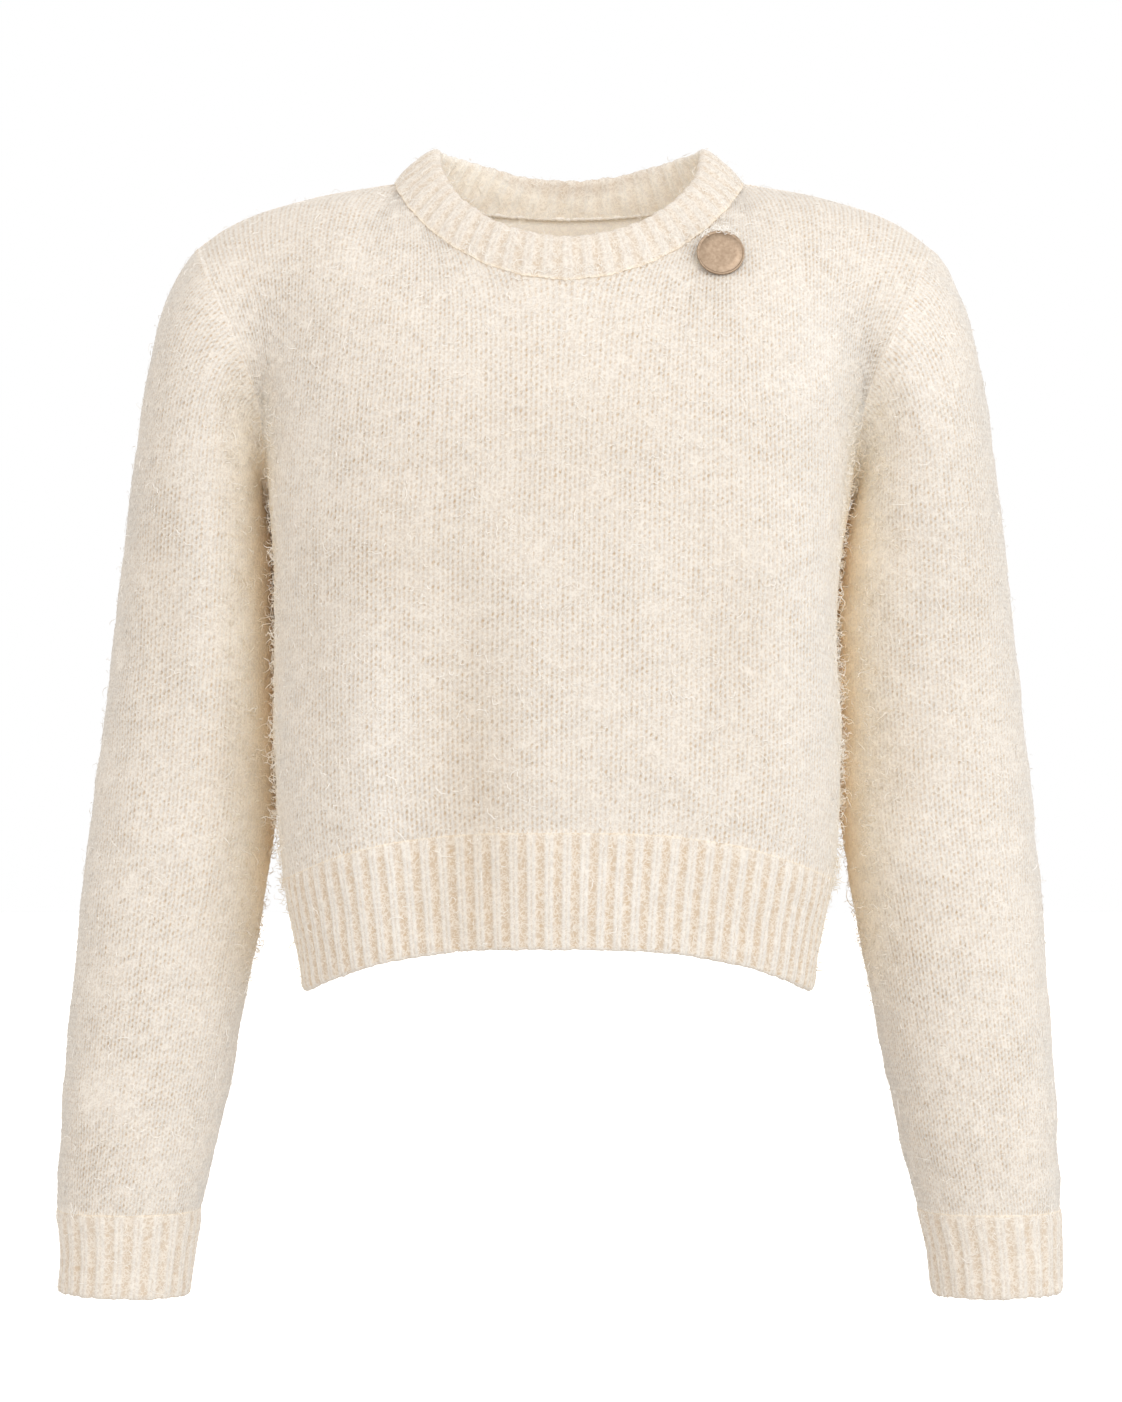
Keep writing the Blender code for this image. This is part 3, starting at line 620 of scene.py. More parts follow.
def sleeve_skin(front, back, sign):
    """Outer points of a sleeve, as rings from the armhole to the cuff: sign is +1 at +X and -1 at -X."""
    edge = -1 if sign > 0 else 0
    armhole = joined_halves(front[ARMPIT_ROW:, edge], back[ARMPIT_ROW:, edge]) * (sign, 1, 1)
    heads = [evenly(smooth(SLEEVE_HEADS[side]), ARMHOLE_ROWS) for side in ("front", "back")]
    rings = []
    for sizes in rows_of(SLEEVE_RINGS):
        sizes["outer"] += sign * sizes["lean"]
        rings.append(shifted(sleeve_ring(sizes, len(armhole)) * (sign, 1, 1)) * (sign, 1, 1))
    first = rings[0]
    reach = np.linalg.norm(first - armhole, axis=1)[:, None]
    start_handle = armhole + unit(joined_halves(*heads)) * reach * HEAD_HANDLE
    end_handle = first - unit(rings[1] - first) * reach * ARM_HANDLE
    head = [armhole]
    for u in SLEEVE_HEAD_STEPS:
        near = (1 - u) ** 3 * armhole + 3 * (1 - u) ** 2 * u * start_handle
        far = 3 * (1 - u) * u**2 * end_handle + u**3 * first
        head.append(near + far)
    return np.array(head + rings) * (sign, 1, 1)


def creased(points, where):
    """Points moved by the soft creases of one part of the garment, and how much lighter each is painted, as
    painted light and shade.
    """
    moved, painted_shading = points.copy(), np.zeros(points.shape[:-1])
    for crease in np.array(CREASES[where]):
        middle, reach, move, lift = crease[:3], crease[3:6], crease[6:9], crease[9]
        amount = np.exp(-(((points - middle) / reach) ** 2).sum(axis=-1))
        moved += amount[..., None] * move
        # Painted light and shade: the colour is painted lighter here, or darker for a lift below zero
        painted_shading += amount * lift
    return moved, painted_shading


def finished(curves, painted_shading, level, closed, outward=1, start=None):
    """A sheet: its columns of points, where they are without creases, and what is known at each of them.

    Up to the row of start, if there is one, the travel of each column is stretched to the mean of them all.
    """
    if closed:
        wrapped = np.concatenate([curves[-1:], curves, curves[:1]])
        across = np.gradient(wrapped, axis=0)[1:-1]
    else:
        across = np.gradient(curves, axis=0)
    along = np.gradient(curves, axis=1)
    steps = np.linalg.norm(np.diff(curves, axis=1), axis=2)
    travel = np.concatenate([np.zeros((len(curves), 1)), np.cumsum(steps, axis=1)], axis=1)
    if start is not None:
        low = travel[:, start : start + 1]
        travel = np.where(travel < low, travel * low.mean() / low, low.mean() + travel - low)
    return {
        "curves": curves,
        "painted_shading": painted_shading,
        "level": level,
        "closed": closed,
        "normals": unit(np.cross(across, along)) * outward,
        "along": unit(along),
        "travel": travel,
    }


def ray_directions(count):
    """Directions over the half space above +Z, closer together towards its pole."""
    place = np.arange(count) + 0.5
    far = np.sqrt(place / count)
    turn = place * math.pi * (3 - math.sqrt(5))
    return np.stack([far * np.cos(turn), far * np.sin(turn), np.sqrt(1 - far**2)], axis=1)


def ray_places(count, closed):
    """The columns or rows of a sheet from which rays start, with the last one if they don't close a ring."""
    places = np.arange(0, count, RAY_STRIDE)
    return places if closed else np.unique(np.append(places, count - 1))


def set_openness(sheet, solids):
    """Stores in a sheet how much of the half space above each of its points is clear of the garment."""
    column_count, row_count = sheet["curves"].shape[:2]
    columns, rows = ray_places(column_count, sheet["closed"]), ray_places(row_count, False)
    points, out, ahead = [sheet[key][columns][:, rows] for key in ("level", "normals", "along")]
    beside = unit(np.cross(out, ahead))
    ahead = np.cross(beside, out)
    start = (points + out * RAY_LIFT) * MM
    found = np.zeros(points.shape[:2])
    for x, y, z in ray_directions(RAY_COUNT):
        way = beside * x + ahead * y + out * z
        for i, j in np.ndindex(found.shape):
            found[i, j] += solids.ray_cast(start[i, j], way[i, j], RAY_LENGTH * MM)[0] is None
    found /= RAY_COUNT
    if sheet["closed"]:
        found, columns = np.concatenate([found, found[:1]]), np.append(columns, column_count)
    found = interpolated(np.arange(row_count), rows, found.T).T
    sheet["open"] = interpolated(np.arange(column_count), columns, found)


def panel_sheet(grid, side):
    """The front or back as a sheet, whose columns run up from the hem rib."""
    rows = refined(grid, SAMPLES)
    places = np.linspace(0, grid.shape[1] - 1, PANEL_WALES * LEGS + 1)
    level = catmull(rows.transpose(1, 0, 2), places)
    curves, painted_shading = creased(level, "body")
    return finished(curves, painted_shading, level, False, -OUTWARD[side], ARMPIT_ROW * SAMPLES)


def sleeve_sheet(front, back, sign):
    """A sleeve as a sheet, whose columns run up from the cuff, the first along its inner side."""
    rings = refined(sleeve_skin(front, back, sign)[::-1], SAMPLES)
    count = SLEEVE_WALES * LEGS
    half = count // 2
    around = catmull(rings.transpose(1, 0, 2), np.arange(count) * rings.shape[1] / count, closed=True)
    level = np.empty_like(around)
    for row in range(around.shape[1]):
        ring = np.concatenate([around[:, row], around[:1, row]])
        level[:half, row] = evenly(ring[: half + 1], half)[:-1]
        level[half:, row] = evenly(ring[half:], half)[:-1]
    curves, painted_shading = creased(level, "left" if sign > 0 else "right")
    return finished(curves, painted_shading, level, True, sign, (len(SLEEVE_RINGS) - 2) * SAMPLES)


def ring_normals(rings):
    """Outward level direction at each point of closed rings that run the same way round."""
    along = np.roll(rings, -1, axis=1) - np.roll(rings, 1, axis=1)
    level = unit(np.stack([along[..., 1], -along[..., 0], np.zeros(along.shape[:2])], axis=-1))
    middle = rings.mean(axis=1, keepdims=True)
    return level * np.sign(((rings - middle) * level).sum())


def rib_columns(ribs):
    """Places of a band's columns of points, as shares of the way round."""
    return ((np.arange(ribs)[:, None] + RIB_PLACES) / ribs).reshape(-1)


def folded_in(rings):
    """Columns of points down closed rings, round the last one and up again inside them."""
    turn = np.linspace(0, math.pi, BAND_TURNS + 2)[1:-1]
    level, double = np.zeros(BAND_SAMPLES), np.full(BAND_SAMPLES, 2 * BAND_ROUND)
    depth = np.concatenate([level, BAND_ROUND * (1 - np.cos(turn)), double])
    curves = []
    for column, away in zip(rings.transpose(1, 0, 2), ring_normals(rings).transpose(1, 0, 2)):
        way = lengths(column)
        low = way[-1] - BAND_ROUND
        down = np.linspace(0, low, BAND_SAMPLES)
        place = np.concatenate([down, low + BAND_ROUND * np.sin(turn), down[::-1]])
        curves.append(interpolated(place, way, column) - interpolated(place, way, away) * depth[:, None])
    return np.array(curves)


def band_sheet(rings, ribs, where):
    """A ribbed tube as a sheet: down its outside from the join, round its edge and up its inside."""
    shares = rib_columns(ribs)
    outer = np.array([at_shares(ring, shares) for ring in rings])
    rings = catmull(outer, np.linspace(0, len(rings) - 1, BAND_RINGS))
    level, curves = folded_in(rings), folded_in(creased(rings, where)[0])
    sheet = finished(curves, creased(level, where)[1], level, True)
    high = level[:, BAND_LOOK]
    if (sheet["normals"][:, BAND_LOOK] * (high - high.mean(axis=0))).sum() < 0:
        sheet["normals"] *= -1
    return sheet


def collar_sheet(seam, edge, ribs):
    """The doubled collar as a sheet: up its outside from the seam, over its top edge and down its inside."""
    shares = rib_columns(ribs)
    seam, edge = at_shares(seam, shares), at_shares(edge, shares)
    rise = edge - seam
    along = ring_directions(seam)
    out = unit(np.cross(along, unit(rise)))
    outline = refined(np.array(COLLAR_OUTLINE, dtype=float), COLLAR_SAMPLES)
    curves = seam[:, None] + rise[:, None] * outline[None, :, :1] + out[:, None] * outline[None, :, 1:]
    sheet = finished(curves, np.zeros(curves.shape[:2]), curves, True)
    if (sheet["normals"][:, COLLAR_SAMPLES] * out).sum() < 0:
        sheet["normals"] *= -1
    return sheet


def around_cells(values):
    """Values at the four corners of each cell of a grid."""
    return np.stack([values[:-1, :-1], values[1:, :-1], values[1:, 1:], values[:-1, 1:]], axis=2)


def lattice(sheet, steps, least, stride=1, slant=0.0):
    """Points of a sheet at steps along every stride-th column, cut off at the column's end."""
    chosen = np.arange(0, len(sheet["curves"]), stride)
    top = sheet["travel"][chosen, -1]
    travel = steps + np.reshape(slant, (-1, 1)) + np.zeros((len(chosen), 1))
    travel[:, 0] = 0
    travel = np.clip(travel, 0, None)
    travel = np.where(travel > top[:, None] - least, top[:, None], travel)
    last = np.argmax(travel >= top[:, None], axis=1)
    known = [sheet["curves"], sheet["normals"], sheet["open"][..., None], sheet["painted_shading"][..., None]]
    columns = zip(travel, sheet["travel"][chosen], np.concatenate(known, axis=2)[chosen])
    rows = np.arange(len(steps))
    keep = rows <= last[:, None]
    found = np.array([interpolated(places, way, values) for places, way, values in columns])[keep]
    made = {
        "points": found[:, :3],
        "normals": unit(found[:, 3:6]),
        "open": found[:, 6],
        "painted_shading": found[:, 7],
        "column": np.repeat(chosen, last + 1),
        "row": np.concatenate([np.arange(count + 1) for count in last]),
        "travel": travel[keep],
        "end": np.repeat(top, last + 1),
    }
    index = (np.cumsum(last + 1) - last - 1)[:, None] + np.minimum(rows, last[:, None])
    u = np.repeat(chosen[:, None], len(steps), axis=1).astype(float)
    if sheet["closed"]:
        index, travel, last = [np.concatenate([part, part[:1]]) for part in (index, travel, last)]
        u = np.concatenate([u, u[:1] + len(sheet["curves"])])
    corners = around_cells(index).reshape(-1, 4)
    spots = around_cells(np.stack([u, travel], axis=-1)).reshape(-1, 4, 2)
    left, right = corners[:, 0] == corners[:, 3], corners[:, 1] == corners[:, 2]
    kinds = ((~left & ~right, [0, 1, 2, 3]), (left & ~right, [0, 1, 2]), (right & ~left, [0, 1, 3]))
    made["faces"] = [face for which, order in kinds for face in corners[which][:, order].tolist()]
    made["maps"] = np.concatenate([spots[which][:, order].reshape(-1, 2) for which, order in kinds])
    made["bottom"] = index[:, 0], u[:, 0]
    made["top"] = index[np.arange(len(last)), last], u[:, 0]
    made["left"] = index[0, : last[0] + 1], travel[0, : last[0] + 1]
    made["right"] = index[-1, : last[-1] + 1], travel[-1, : last[-1] + 1]
    return made


def zipped(first, second, offset):
    """Triangles between two borders, whose points are in order of their places."""
    (a, a_place), (b, b_place) = first, second
    i = j = 0
    faces = []
    while i < len(a) - 1 or j < len(b) - 1:
        if j == len(b) - 1 or (i < len(a) - 1 and a_place[i + 1] <= b_place[j + 1]):
            faces.append((int(a[i]), int(a[i + 1]), int(b[j]) + offset))
            i += 1
        else:
            faces.append((int(a[i]), int(b[j + 1]) + offset, int(b[j]) + offset))
            j += 1
    return faces


def add_piece(name, points, faces, maps, values, material, border=()):
    """A shown piece on the sweater, from points in millimetres, with its texture places and named values."""
    mesh = bpy.data.meshes.new(name)
    mesh.from_pydata((points * MM).tolist(), [], faces)
    layer = mesh.uv_layers.new(name=MAP_NAME)
    layer.uv.foreach_set("vector", np.asarray(maps, dtype=np.float32).reshape(-1))
    for key, value in values.items():
        attribute = mesh.attributes.new(key, "FLOAT", "POINT")
        attribute.data.foreach_set("value", np.asarray(value, dtype=np.float32))
    mesh.materials.append(material)
    mesh.shade_smooth()
    if len(border):
        on_border = np.zeros(len(points), dtype=bool)
        on_border[border] = True
        ends = np.empty(2 * len(mesh.edges), dtype=np.int32)
        mesh.edges.foreach_get("vertices", ends)
        sharp = mesh.attributes.new("sharp_edge", "BOOLEAN", "EDGE")
        sharp.data.foreach_set("value", on_border[ends.reshape(-1, 2)].all(axis=1))
    piece = bpy.data.objects.new(name, mesh)
    bpy.context.scene.collection.objects.link(piece)
    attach(piece, "root")
    return piece


def reversed_faces(faces, maps):
    """Faces turned the other way, with their texture places."""
    sizes = np.array([len(face) for face in faces])
    starts = np.cumsum(sizes) - sizes
    order = np.concatenate([np.arange(start, start + size)[::-1] for start, size in zip(starts, sizes)])
    return [face[::-1] for face in faces], maps[order]


def turned_out(faces, maps, points):
    """Faces of a closed shell turned to face out, if its volume shows that they face in."""
    triangles = [face[:3] for face in faces] + [face[:1] + face[2:] for face in faces if len(face) == 4]
    a, b, c = points[np.array(triangles)].transpose(1, 0, 2)
    volume = np.einsum("ij,ij->i", a, np.cross(b, c)).sum()
    return (faces, maps) if volume > 0 else reversed_faces(faces, maps)


def near_border(sheet, grid):
    """How far each point of a lattice is from the nearest border of its sheet."""
    near = np.minimum(grid["travel"], grid["end"] - grid["travel"])
    if sheet["closed"]:
        return near
    last = len(sheet["curves"]) - 1
    return np.minimum(near, (last - np.abs(2 * grid["column"] - last)) / 2 * COLUMN_PITCH)


def drawn_out(points, sheet, grid):
    """Moves the border points of a lattice a little outwards, into the seams."""
    for border, sign, end in (("bottom", -1, 0), ("top", 1, -1)):
        edge = np.unique(grid[border][0])
        points[edge] += sign * SEAM_JOIN * sheet["along"][grid["column"][edge], end]
    if not sheet["closed"]:
        for border, last, beside in (("left", 0, 1), ("right", -1, -2)):
            edge = grid[border][0]
            away = unit(sheet["curves"][last] - sheet["curves"][beside])
            points[edge] += SEAM_JOIN * interpolated(grid["travel"][edge], sheet["travel"][last], away)


def knit_piece(name, sheet, seed, material):
    """A knitted wall: stitches raised on the outside, a plain inside and closed edges."""
    count = len(sheet["curves"])
    most = sheet["travel"][:, -1].max()
    steps = np.arange(int(most / COURSE * 2) + 4) * COURSE / 2
    outer = lattice(sheet, steps, COURSE * 0.2, slant=COURSE * ZIGZAG[np.arange(count) % LEGS])
    inner_steps = np.arange(int(most / INNER_PITCH) + 3) * INNER_PITCH
    inner = lattice(sheet, inner_steps, INNER_PITCH * 0.3, stride=INNER_STRIDE)
    random = np.random.default_rng(seed)
    leg, row = outer["column"] % LEGS, outer["row"] % 2
    base, size = outer["points"], len(outer["points"])

    # Height of the stitches, which differs from place to place and from one stitch to the next
    shown = np.clip(STITCH_HEIGHT + waved(base, STITCH_WAVES, seed), 0.3, 1.25)
    uneven = random.normal(0, 1, (count + LEGS, int(outer["row"].max()) + 2))
    shown = np.clip(shown + STITCH_UNEVEN * uneven[outer["column"] // LEGS, outer["row"] // 2], 0.15, 1.4)
    height = LEG_HEIGHT[row, leg] * shown + random.normal(0, FINE_UNEVEN, size)
    height += waved(base, CLOTH_WAVES, seed)
    near = near_border(sheet, outer)
    height *= np.clip(near / SEAM_REACH, 0, 1)
    side = random.normal(0, 0.1, base.shape)
    side -= (side * outer["normals"]).sum(axis=1, keepdims=True) * outer["normals"]
    outside = base + outer["normals"] * height[:, None] + side * np.clip(near / STILL_REACH, 0, 1)[:, None]
    drawn_out(outside, sheet, outer)
    inside = inner["points"] - inner["normals"] * KNIT_THICKNESS
    points = np.concatenate([outside, inside])

    # The outside takes nearly all of the texture, the inside its foot and the rims a strip between them
    borders = ["bottom", "top"] if sheet["closed"] else ["bottom", "top", "left", "right"]
    rims = []
    for border in borders:
        strip = zipped(outer[border], inner[border], size)
        rims += [face[::-1] for face in strip] if border in ("bottom", "right") else strip
    scale = np.array([count, most])
    outer_map = outer["maps"] / scale * (1, 0.93) + (0, 0.07)
    inner_faces, inner_map = reversed_faces(inner["faces"], inner["maps"] / scale * (1, 0.05))
    inner_faces = [[corner + size for corner in face] for face in inner_faces]
    rim_map = np.tile([(0.0, 0.055), (0.01, 0.055), (0.01, 0.062)], (len(rims), 1))
    rim_map[:, 0] += np.repeat(np.linspace(0, 0.98, len(rims)), 3)
    maps = np.concatenate([outer_map, inner_map, rim_map])
    faces, maps = turned_out(outer["faces"] + inner_faces + rims, maps, points)

    # Painted shade between the yarns, which differs a little from stitch to stitch
    plain = LEG_SHADE.mean()
    shade = plain + (LEG_SHADE[row, leg] - plain) * shown + random.normal(0, FINE_UNEVEN, size)
    # Where little light reaches, the painted shade between the yarns fades, as painted light that makes a
    # crease lighter
    shade = np.clip(shade, 0, 1.3) * (1 - CREASE_PAINTED_LIGHT * closed_in(outer["open"], PAINTED_LIGHT_RANGE))
    # Painted bounce light where little light reaches the outside, and a set amount of it on the inside
    looks = {
        "shade": (shade, INNER_SHADE),
        "depth": (1 - outer["open"], INNER_PAINTED_BOUNCE),
        "painted_shading": (outer["painted_shading"], INNER_PAINTED_LIGHT),
    }
    values = {key: np.append(out, np.full(len(inside), within)) for key, (out, within) in looks.items()}
    edge = np.concatenate([outer[border][0] for border in borders])
    return add_piece("knit_" + name, points, faces, maps, values, material, edge)


def band_piece(name, sheet, steps, strength, seed, material, drop=0.0):
    """A ribbed band: columns raised on both of its faces, closed along its join."""
    grid = lattice(sheet, steps, BAND_LEAST)
    kind = grid["column"] % len(RIB_PLACES)
    groove, ridge = RIB_LIFT[kind] < 0.5, RIB_LIFT[kind] > 0.5
    contrast = RIB_CONTRAST[name]
    random = np.random.default_rng(seed)
    base = grid["points"]
    most = sheet["travel"][:, -1].mean()
    amount = np.interp(grid["travel"] / most, *strength)
    phase = 2 * math.pi * grid["travel"] / COURSE
    trough = groove * 0.22 * np.sin(phase + 1.2 * np.abs(kind - 6))
    legs = ridge * 0.16 * np.sin(phase + 1.6 * (kind - 2))
    height = amount * (RIB_LIFT[kind] + trough + legs) + random.normal(0, 0.1, len(base))
    height += waved(base, BAND_WAVES, seed)
    points = base + grid["normals"] * height[:, None]
    edge = np.unique(grid["bottom"][0])
    uneven = drop * random.uniform(0.5, 1.4, len(edge))
    points[edge] -= uneven[:, None] * sheet["along"][grid["column"][edge], 0]

    a, b = grid["bottom"][0].tolist(), grid["top"][0].tolist()
    rims = list(zip(a[1:], a, b, b[1:]))
    rim_map = np.tile([(0.002, 0.0), (0.0, 0.0), (0.0, 0.012), (0.002, 0.012)], (len(rims), 1))
    rim_map[:, 0] += np.repeat(np.linspace(0, 0.99, len(rims)), 4)
    band_map = grid["maps"] / (len(sheet["curves"]), most * 1.02) * (1, 0.97) + (0, 0.02)
    faces, maps = turned_out(grid["faces"] + rims, np.concatenate([band_map, rim_map]), points)

    # Painted shade in the ribs' grooves
    plain = RIB_SHADE.mean()
    shade = (RIB_SHADE[kind] - plain) * np.clip(0.4 + 0.6 * amount, 0, 1) * contrast + plain
    shade = shade + groove * 0.25 * contrast * np.sin(phase) + random.normal(0, 0.06, len(base))
    inner = np.clip((grid["travel"] / most - 0.5) * 8, 0, 1)
    # Painted bounce light where little light reaches, and in the crevice of the band's join
    depth = np.maximum(1 - grid["open"], 0.6 * np.clip(1 - grid["travel"] / BAND_SEAM, 0, 1))
    # Where little light reaches, the painted shade of the ribs fades, as painted light
    shade *= 1 - BAND_PAINTED_LIGHT * closed_in(grid["open"], PAINTED_LIGHT_RANGE)
    # The inside of the band is painted lighter: less painted shade, more painted bounce light and painted
    # light
    values = {
        "shade": np.clip(shade - 0.35 * inner, 0, 1.2),
        "depth": depth * (1 - inner) + INNER_PAINTED_BOUNCE * inner,
        "painted_shading": grid["painted_shading"] + INNER_PAINTED_LIGHT * inner,
    }
    edge = np.concatenate([grid["bottom"][0], grid["top"][0]])
    return add_piece("rib_" + name, points, faces, maps, values, material, edge)


def strands(roots, out, ahead, random, longest, stand, width, clear):
    """Points, faces, places and tones of fine curled hairs on a surface, each a tapered ribbon."""
    number = len(roots)
    beside = unit(np.cross(out, ahead))
    size = np.clip(random.gamma(4.0, longest / 9, number), HAIR_LEAST, longest)
    size *= 1 + CREASE_LONGER * closed_in(clear, LEAN_RANGE)
    rise = np.clip(random.exponential(stand, number), 0.15, stand * 4.5)
    rise *= 1 + CREASE_HIGHER * closed_in(clear, THICK_RANGE)
    drop = random.uniform(0.0, 1.0, number)
    angle = random.uniform(0, 2 * math.pi, number)
    bend = random.normal(0, 1.0, number) * HAIR_BEND / HAIR_PARTS
    sway = random.normal(0, HAIR_SWAY, number)
    foot = out * HAIR_FOOT
    spots = [roots + foot]
    ways = []
    for part in range(HAIR_PARTS):
        turn = angle + bend * part + sway * math.sin(2.2 * part)
        way = np.cos(turn)[:, None] * ahead + np.sin(turn)[:, None] * beside
        share = (part + 1) / HAIR_PARTS
        lift = rise * (math.sin(math.pi * share / 2) * (1 - drop) + math.sin(math.pi * share) * drop)
        before = spots[-1] - roots - foot
        level = before - (before * out).sum(axis=1, keepdims=True) * out
        level = level + way * (size / HAIR_PARTS)[:, None]
        spots.append(roots + level + out * (HAIR_FOOT + lift)[:, None])
        ways.append(way)
    tilt = random.uniform(-0.9, 0.9, number)
    thick = width * random.uniform(0.7, 1.3, number) / 2

    corners = 2 * HAIR_PARTS
    points = np.empty((number, corners, 3))
    points[:, 0], points[:, -1] = spots[0], spots[-1]
    for part in range(1, HAIR_PARTS):
        way = unit(ways[part - 1] + ways[part])
        flat = np.cross(way, out) * np.cos(tilt)[:, None] + out * np.sin(tilt)[:, None]
        wide = flat * (thick * (1 - HAIR_TAPER * part / HAIR_PARTS))[:, None]
        points[:, 2 * part - 1], points[:, 2 * part] = spots[part] - wide, spots[part] + wide
    middle = [(2 * part - 1, 2 * part, 2 * part + 2, 2 * part + 1) for part in range(1, HAIR_PARTS - 1)]
    orders = [(0, 2, 1), *middle, (corners - 3, corners - 2, corners - 1)]
    starts = np.arange(number)[:, None] * corners
    faces = [face for order in orders for face in (starts + order).tolist()]

    # Each hair has a cell of its own in the texture
    cells = math.ceil(math.sqrt(number))
    cell = np.stack([np.arange(number) % cells, np.arange(number) // cells], axis=1)[:, None] / cells
    level = np.repeat(np.linspace(0.1, 0.9, HAIR_PARTS + 1), 2)[1:-1]
    places = np.stack([np.where(np.arange(corners) % 2, 0.1, 0.8), level], axis=1) / cells
    maps = np.concatenate([(cell + places[list(order)]).reshape(-1, 2) for order in orders])
    tone = np.repeat(random.uniform(0, 1, number), corners)
    return points.reshape(-1, 3), faces, maps, tone


def between(values, column_place, row_place):
    """Values of a sheet at fractional columns and rows."""
    c, d = column_place.astype(int), row_place.astype(int)
    after = (c + 1) % len(values)
    u, v = (column_place - c)[:, None], (row_place - d)[:, None]
    low = values[c, d] * (1 - u) + values[after, d] * u
    high = values[c, d + 1] * (1 - u) + values[after, d + 1] * u
    return low * (1 - v) + high * v


def cells_of(sheet):
    """The area of each cell of a sheet, and the steps from each of its columns to the next."""
    curves = sheet["curves"]
    across = np.roll(curves, -1, axis=0) - curves
    if not sheet["closed"]:
        across = across[:-1]
    along = np.diff(curves, axis=1)[: len(across)]
    return np.linalg.norm(np.cross(across[:, :-1], along), axis=2), across


def fuzz_piece(name, sheet, number, seed, material):
    """The brushed halo of one piece, thicker in creases, at a panel's sides and at a band's join."""
    random = np.random.default_rng(seed)
    area = cells_of(sheet)[0]
    here = sheet["curves"][: len(area), :-1]
    clear = sheet["open"][: len(area), :-1]
    thick = np.exp(0.3 * ripple(here, 50, seed + 5))
    thick *= 1 + CREASE_THICKER * closed_in(clear, THICK_RANGE) * (1 - closed_in(clear, DEEP_RANGE))
    if not sheet["closed"]:
        thick[:BORDER_COLUMNS] *= SIDE_THICKER
        thick[-BORDER_COLUMNS:] *= SIDE_THICKER
    if name in BANDS:
        thick *= 1 + JOIN_THICKER * (sheet["travel"][: len(area), :-1] < BORDER_REACH)
    if name == "front":
        thick *= np.linalg.norm(here[..., [0, 2]] - BADGE_PLACE, axis=2) >= BADGE_CLEAR
    weight = (area * thick).reshape(-1)
    picked = random.choice(len(weight), number, p=weight / weight.sum())
    columns = picked // area.shape[1] + random.random(number)
    rows = picked % area.shape[1] + random.random(number)
    columns = np.minimum(columns, len(sheet["curves"]) - (1e-6 if sheet["closed"] else 1.001))
    roots = between(sheet["curves"], columns, rows)
    out = unit(between(sheet["normals"], columns, rows))
    ahead = unit(between(sheet["along"], columns, rows))
    clear = between(sheet["open"][..., None], columns, rows)[:, 0]
    lean = CREASE_LEAN * closed_in(clear, LEAN_RANGE) * np.sign(out[:, 1])
    out = unit(out + lean[:, None] * (0.0, 1.0, 0.0))
    roots = roots + out * (BAND_RAISED if name in BANDS else KNIT_RAISED)
    sizes = (HAIR_LONGEST, HAIR_STAND, HAIR_WIDTH)
    points, faces, maps, tone = strands(roots, out, ahead, random, *sizes, clear)
    # Painted shade: hairs deep in a crease take a darker tone
    deep = np.repeat(closed_in(clear, PAINTED_SHADE_RANGE), 2 * HAIR_PARTS)
    values = {"tone": 0.5 + 0.5 * tone - 0.5 * deep}
    return add_piece("halo_" + name, points, faces, maps, values, material)


def fill(tree, made, sockets):
    """Gives inputs of a node their values, or links them to the outputs that stand in their places."""
    for key, value in sockets.items():
        if isinstance(value, bpy.types.NodeSocket):
            tree.links.new(value, made.inputs[key])
        else:
            made.inputs[key].default_value = value


def node(tree, kind, sockets, **settings):
    """The outputs of a new shader node, with its inputs and settings."""
    made = tree.nodes.new("ShaderNode" + kind)
    for key, value in settings.items():
        setattr(made, key, value)
    fill(tree, made, sockets)
    return made.outputs


def worked(tree, operation, *values, **settings):
    """The result of a math node on numbers and outputs."""
    return node(tree, "Math", dict(enumerate(values)), operation=operation, **settings)[0]


def stored(tree, name):
    """A value that the points of a mesh carry."""
    return node(tree, "Attribute", {}, attribute_name=name)["Fac"]


def mixed(tree, factor, first, second, **settings):
    """A mix of two colours."""
    return node(tree, "Mix", {0: factor, 6: first, 7: second}, data_type="RGBA", **settings)[2]


def noise(tree, where, scale, detail, roughness=0.5):
    """A noise texture."""
    sockets = {"Vector": where, "Scale": scale, "Detail": detail, "Roughness": roughness}
    return node(tree, "TexNoise", sockets)["Fac"]


def bumped(tree, height, strength, distance):
    """The direction of a surface with a fine relief."""
    return node(tree, "Bump", {"Height": height, "Strength": strength, "Distance": distance})["Normal"]


def ramped(tree, factor, *stops):
    """The colours of a ramp, whose first two stops are the ones it comes with."""
    ramp = tree.nodes.new("ShaderNodeValToRGB")
    elements = ramp.color_ramp.elements
    for element, (place, colour) in zip(elements, stops):
        element.position = place
        element.color = (*colour, 1.0)
    for place, colour in stops[len(elements) :]:
        elements.new(place).color = (*colour, 1.0)
    fill(tree, ramp, {"Fac": factor})
    return ramp.outputs["Color"]


def new_material(name, sockets):
    """A material, with its tree and its shader, some of whose inputs are set."""
    material = bpy.data.materials.new(name)
    material.use_nodes = True
    tree = material.node_tree
    shader = tree.nodes["Principled BSDF"]
    fill(tree, shader, sockets)
    return material, tree, shader


def curled_lines(tree, where, scale, width, seed):
    """Thin curling lines, where a noise passes its middle value: 1 on a line and 0 off it."""
    sockets = {"Vector": where, "Scale": scale, "Detail": 1.5, "Distortion": 0.6, "W": seed * 3.7}
    waves = node(tree, "TexNoise", sockets, noise_dimensions="4D")["Fac"]
    off = worked(tree, "ABSOLUTE", worked(tree, "SUBTRACT", waves, 0.5))
    limits = {"Value": off, "From Min": 0.0, "From Max": width, "To Min": 1.0, "To Max": 0.0}
    return node(tree, "MapRange", limits)["Result"]


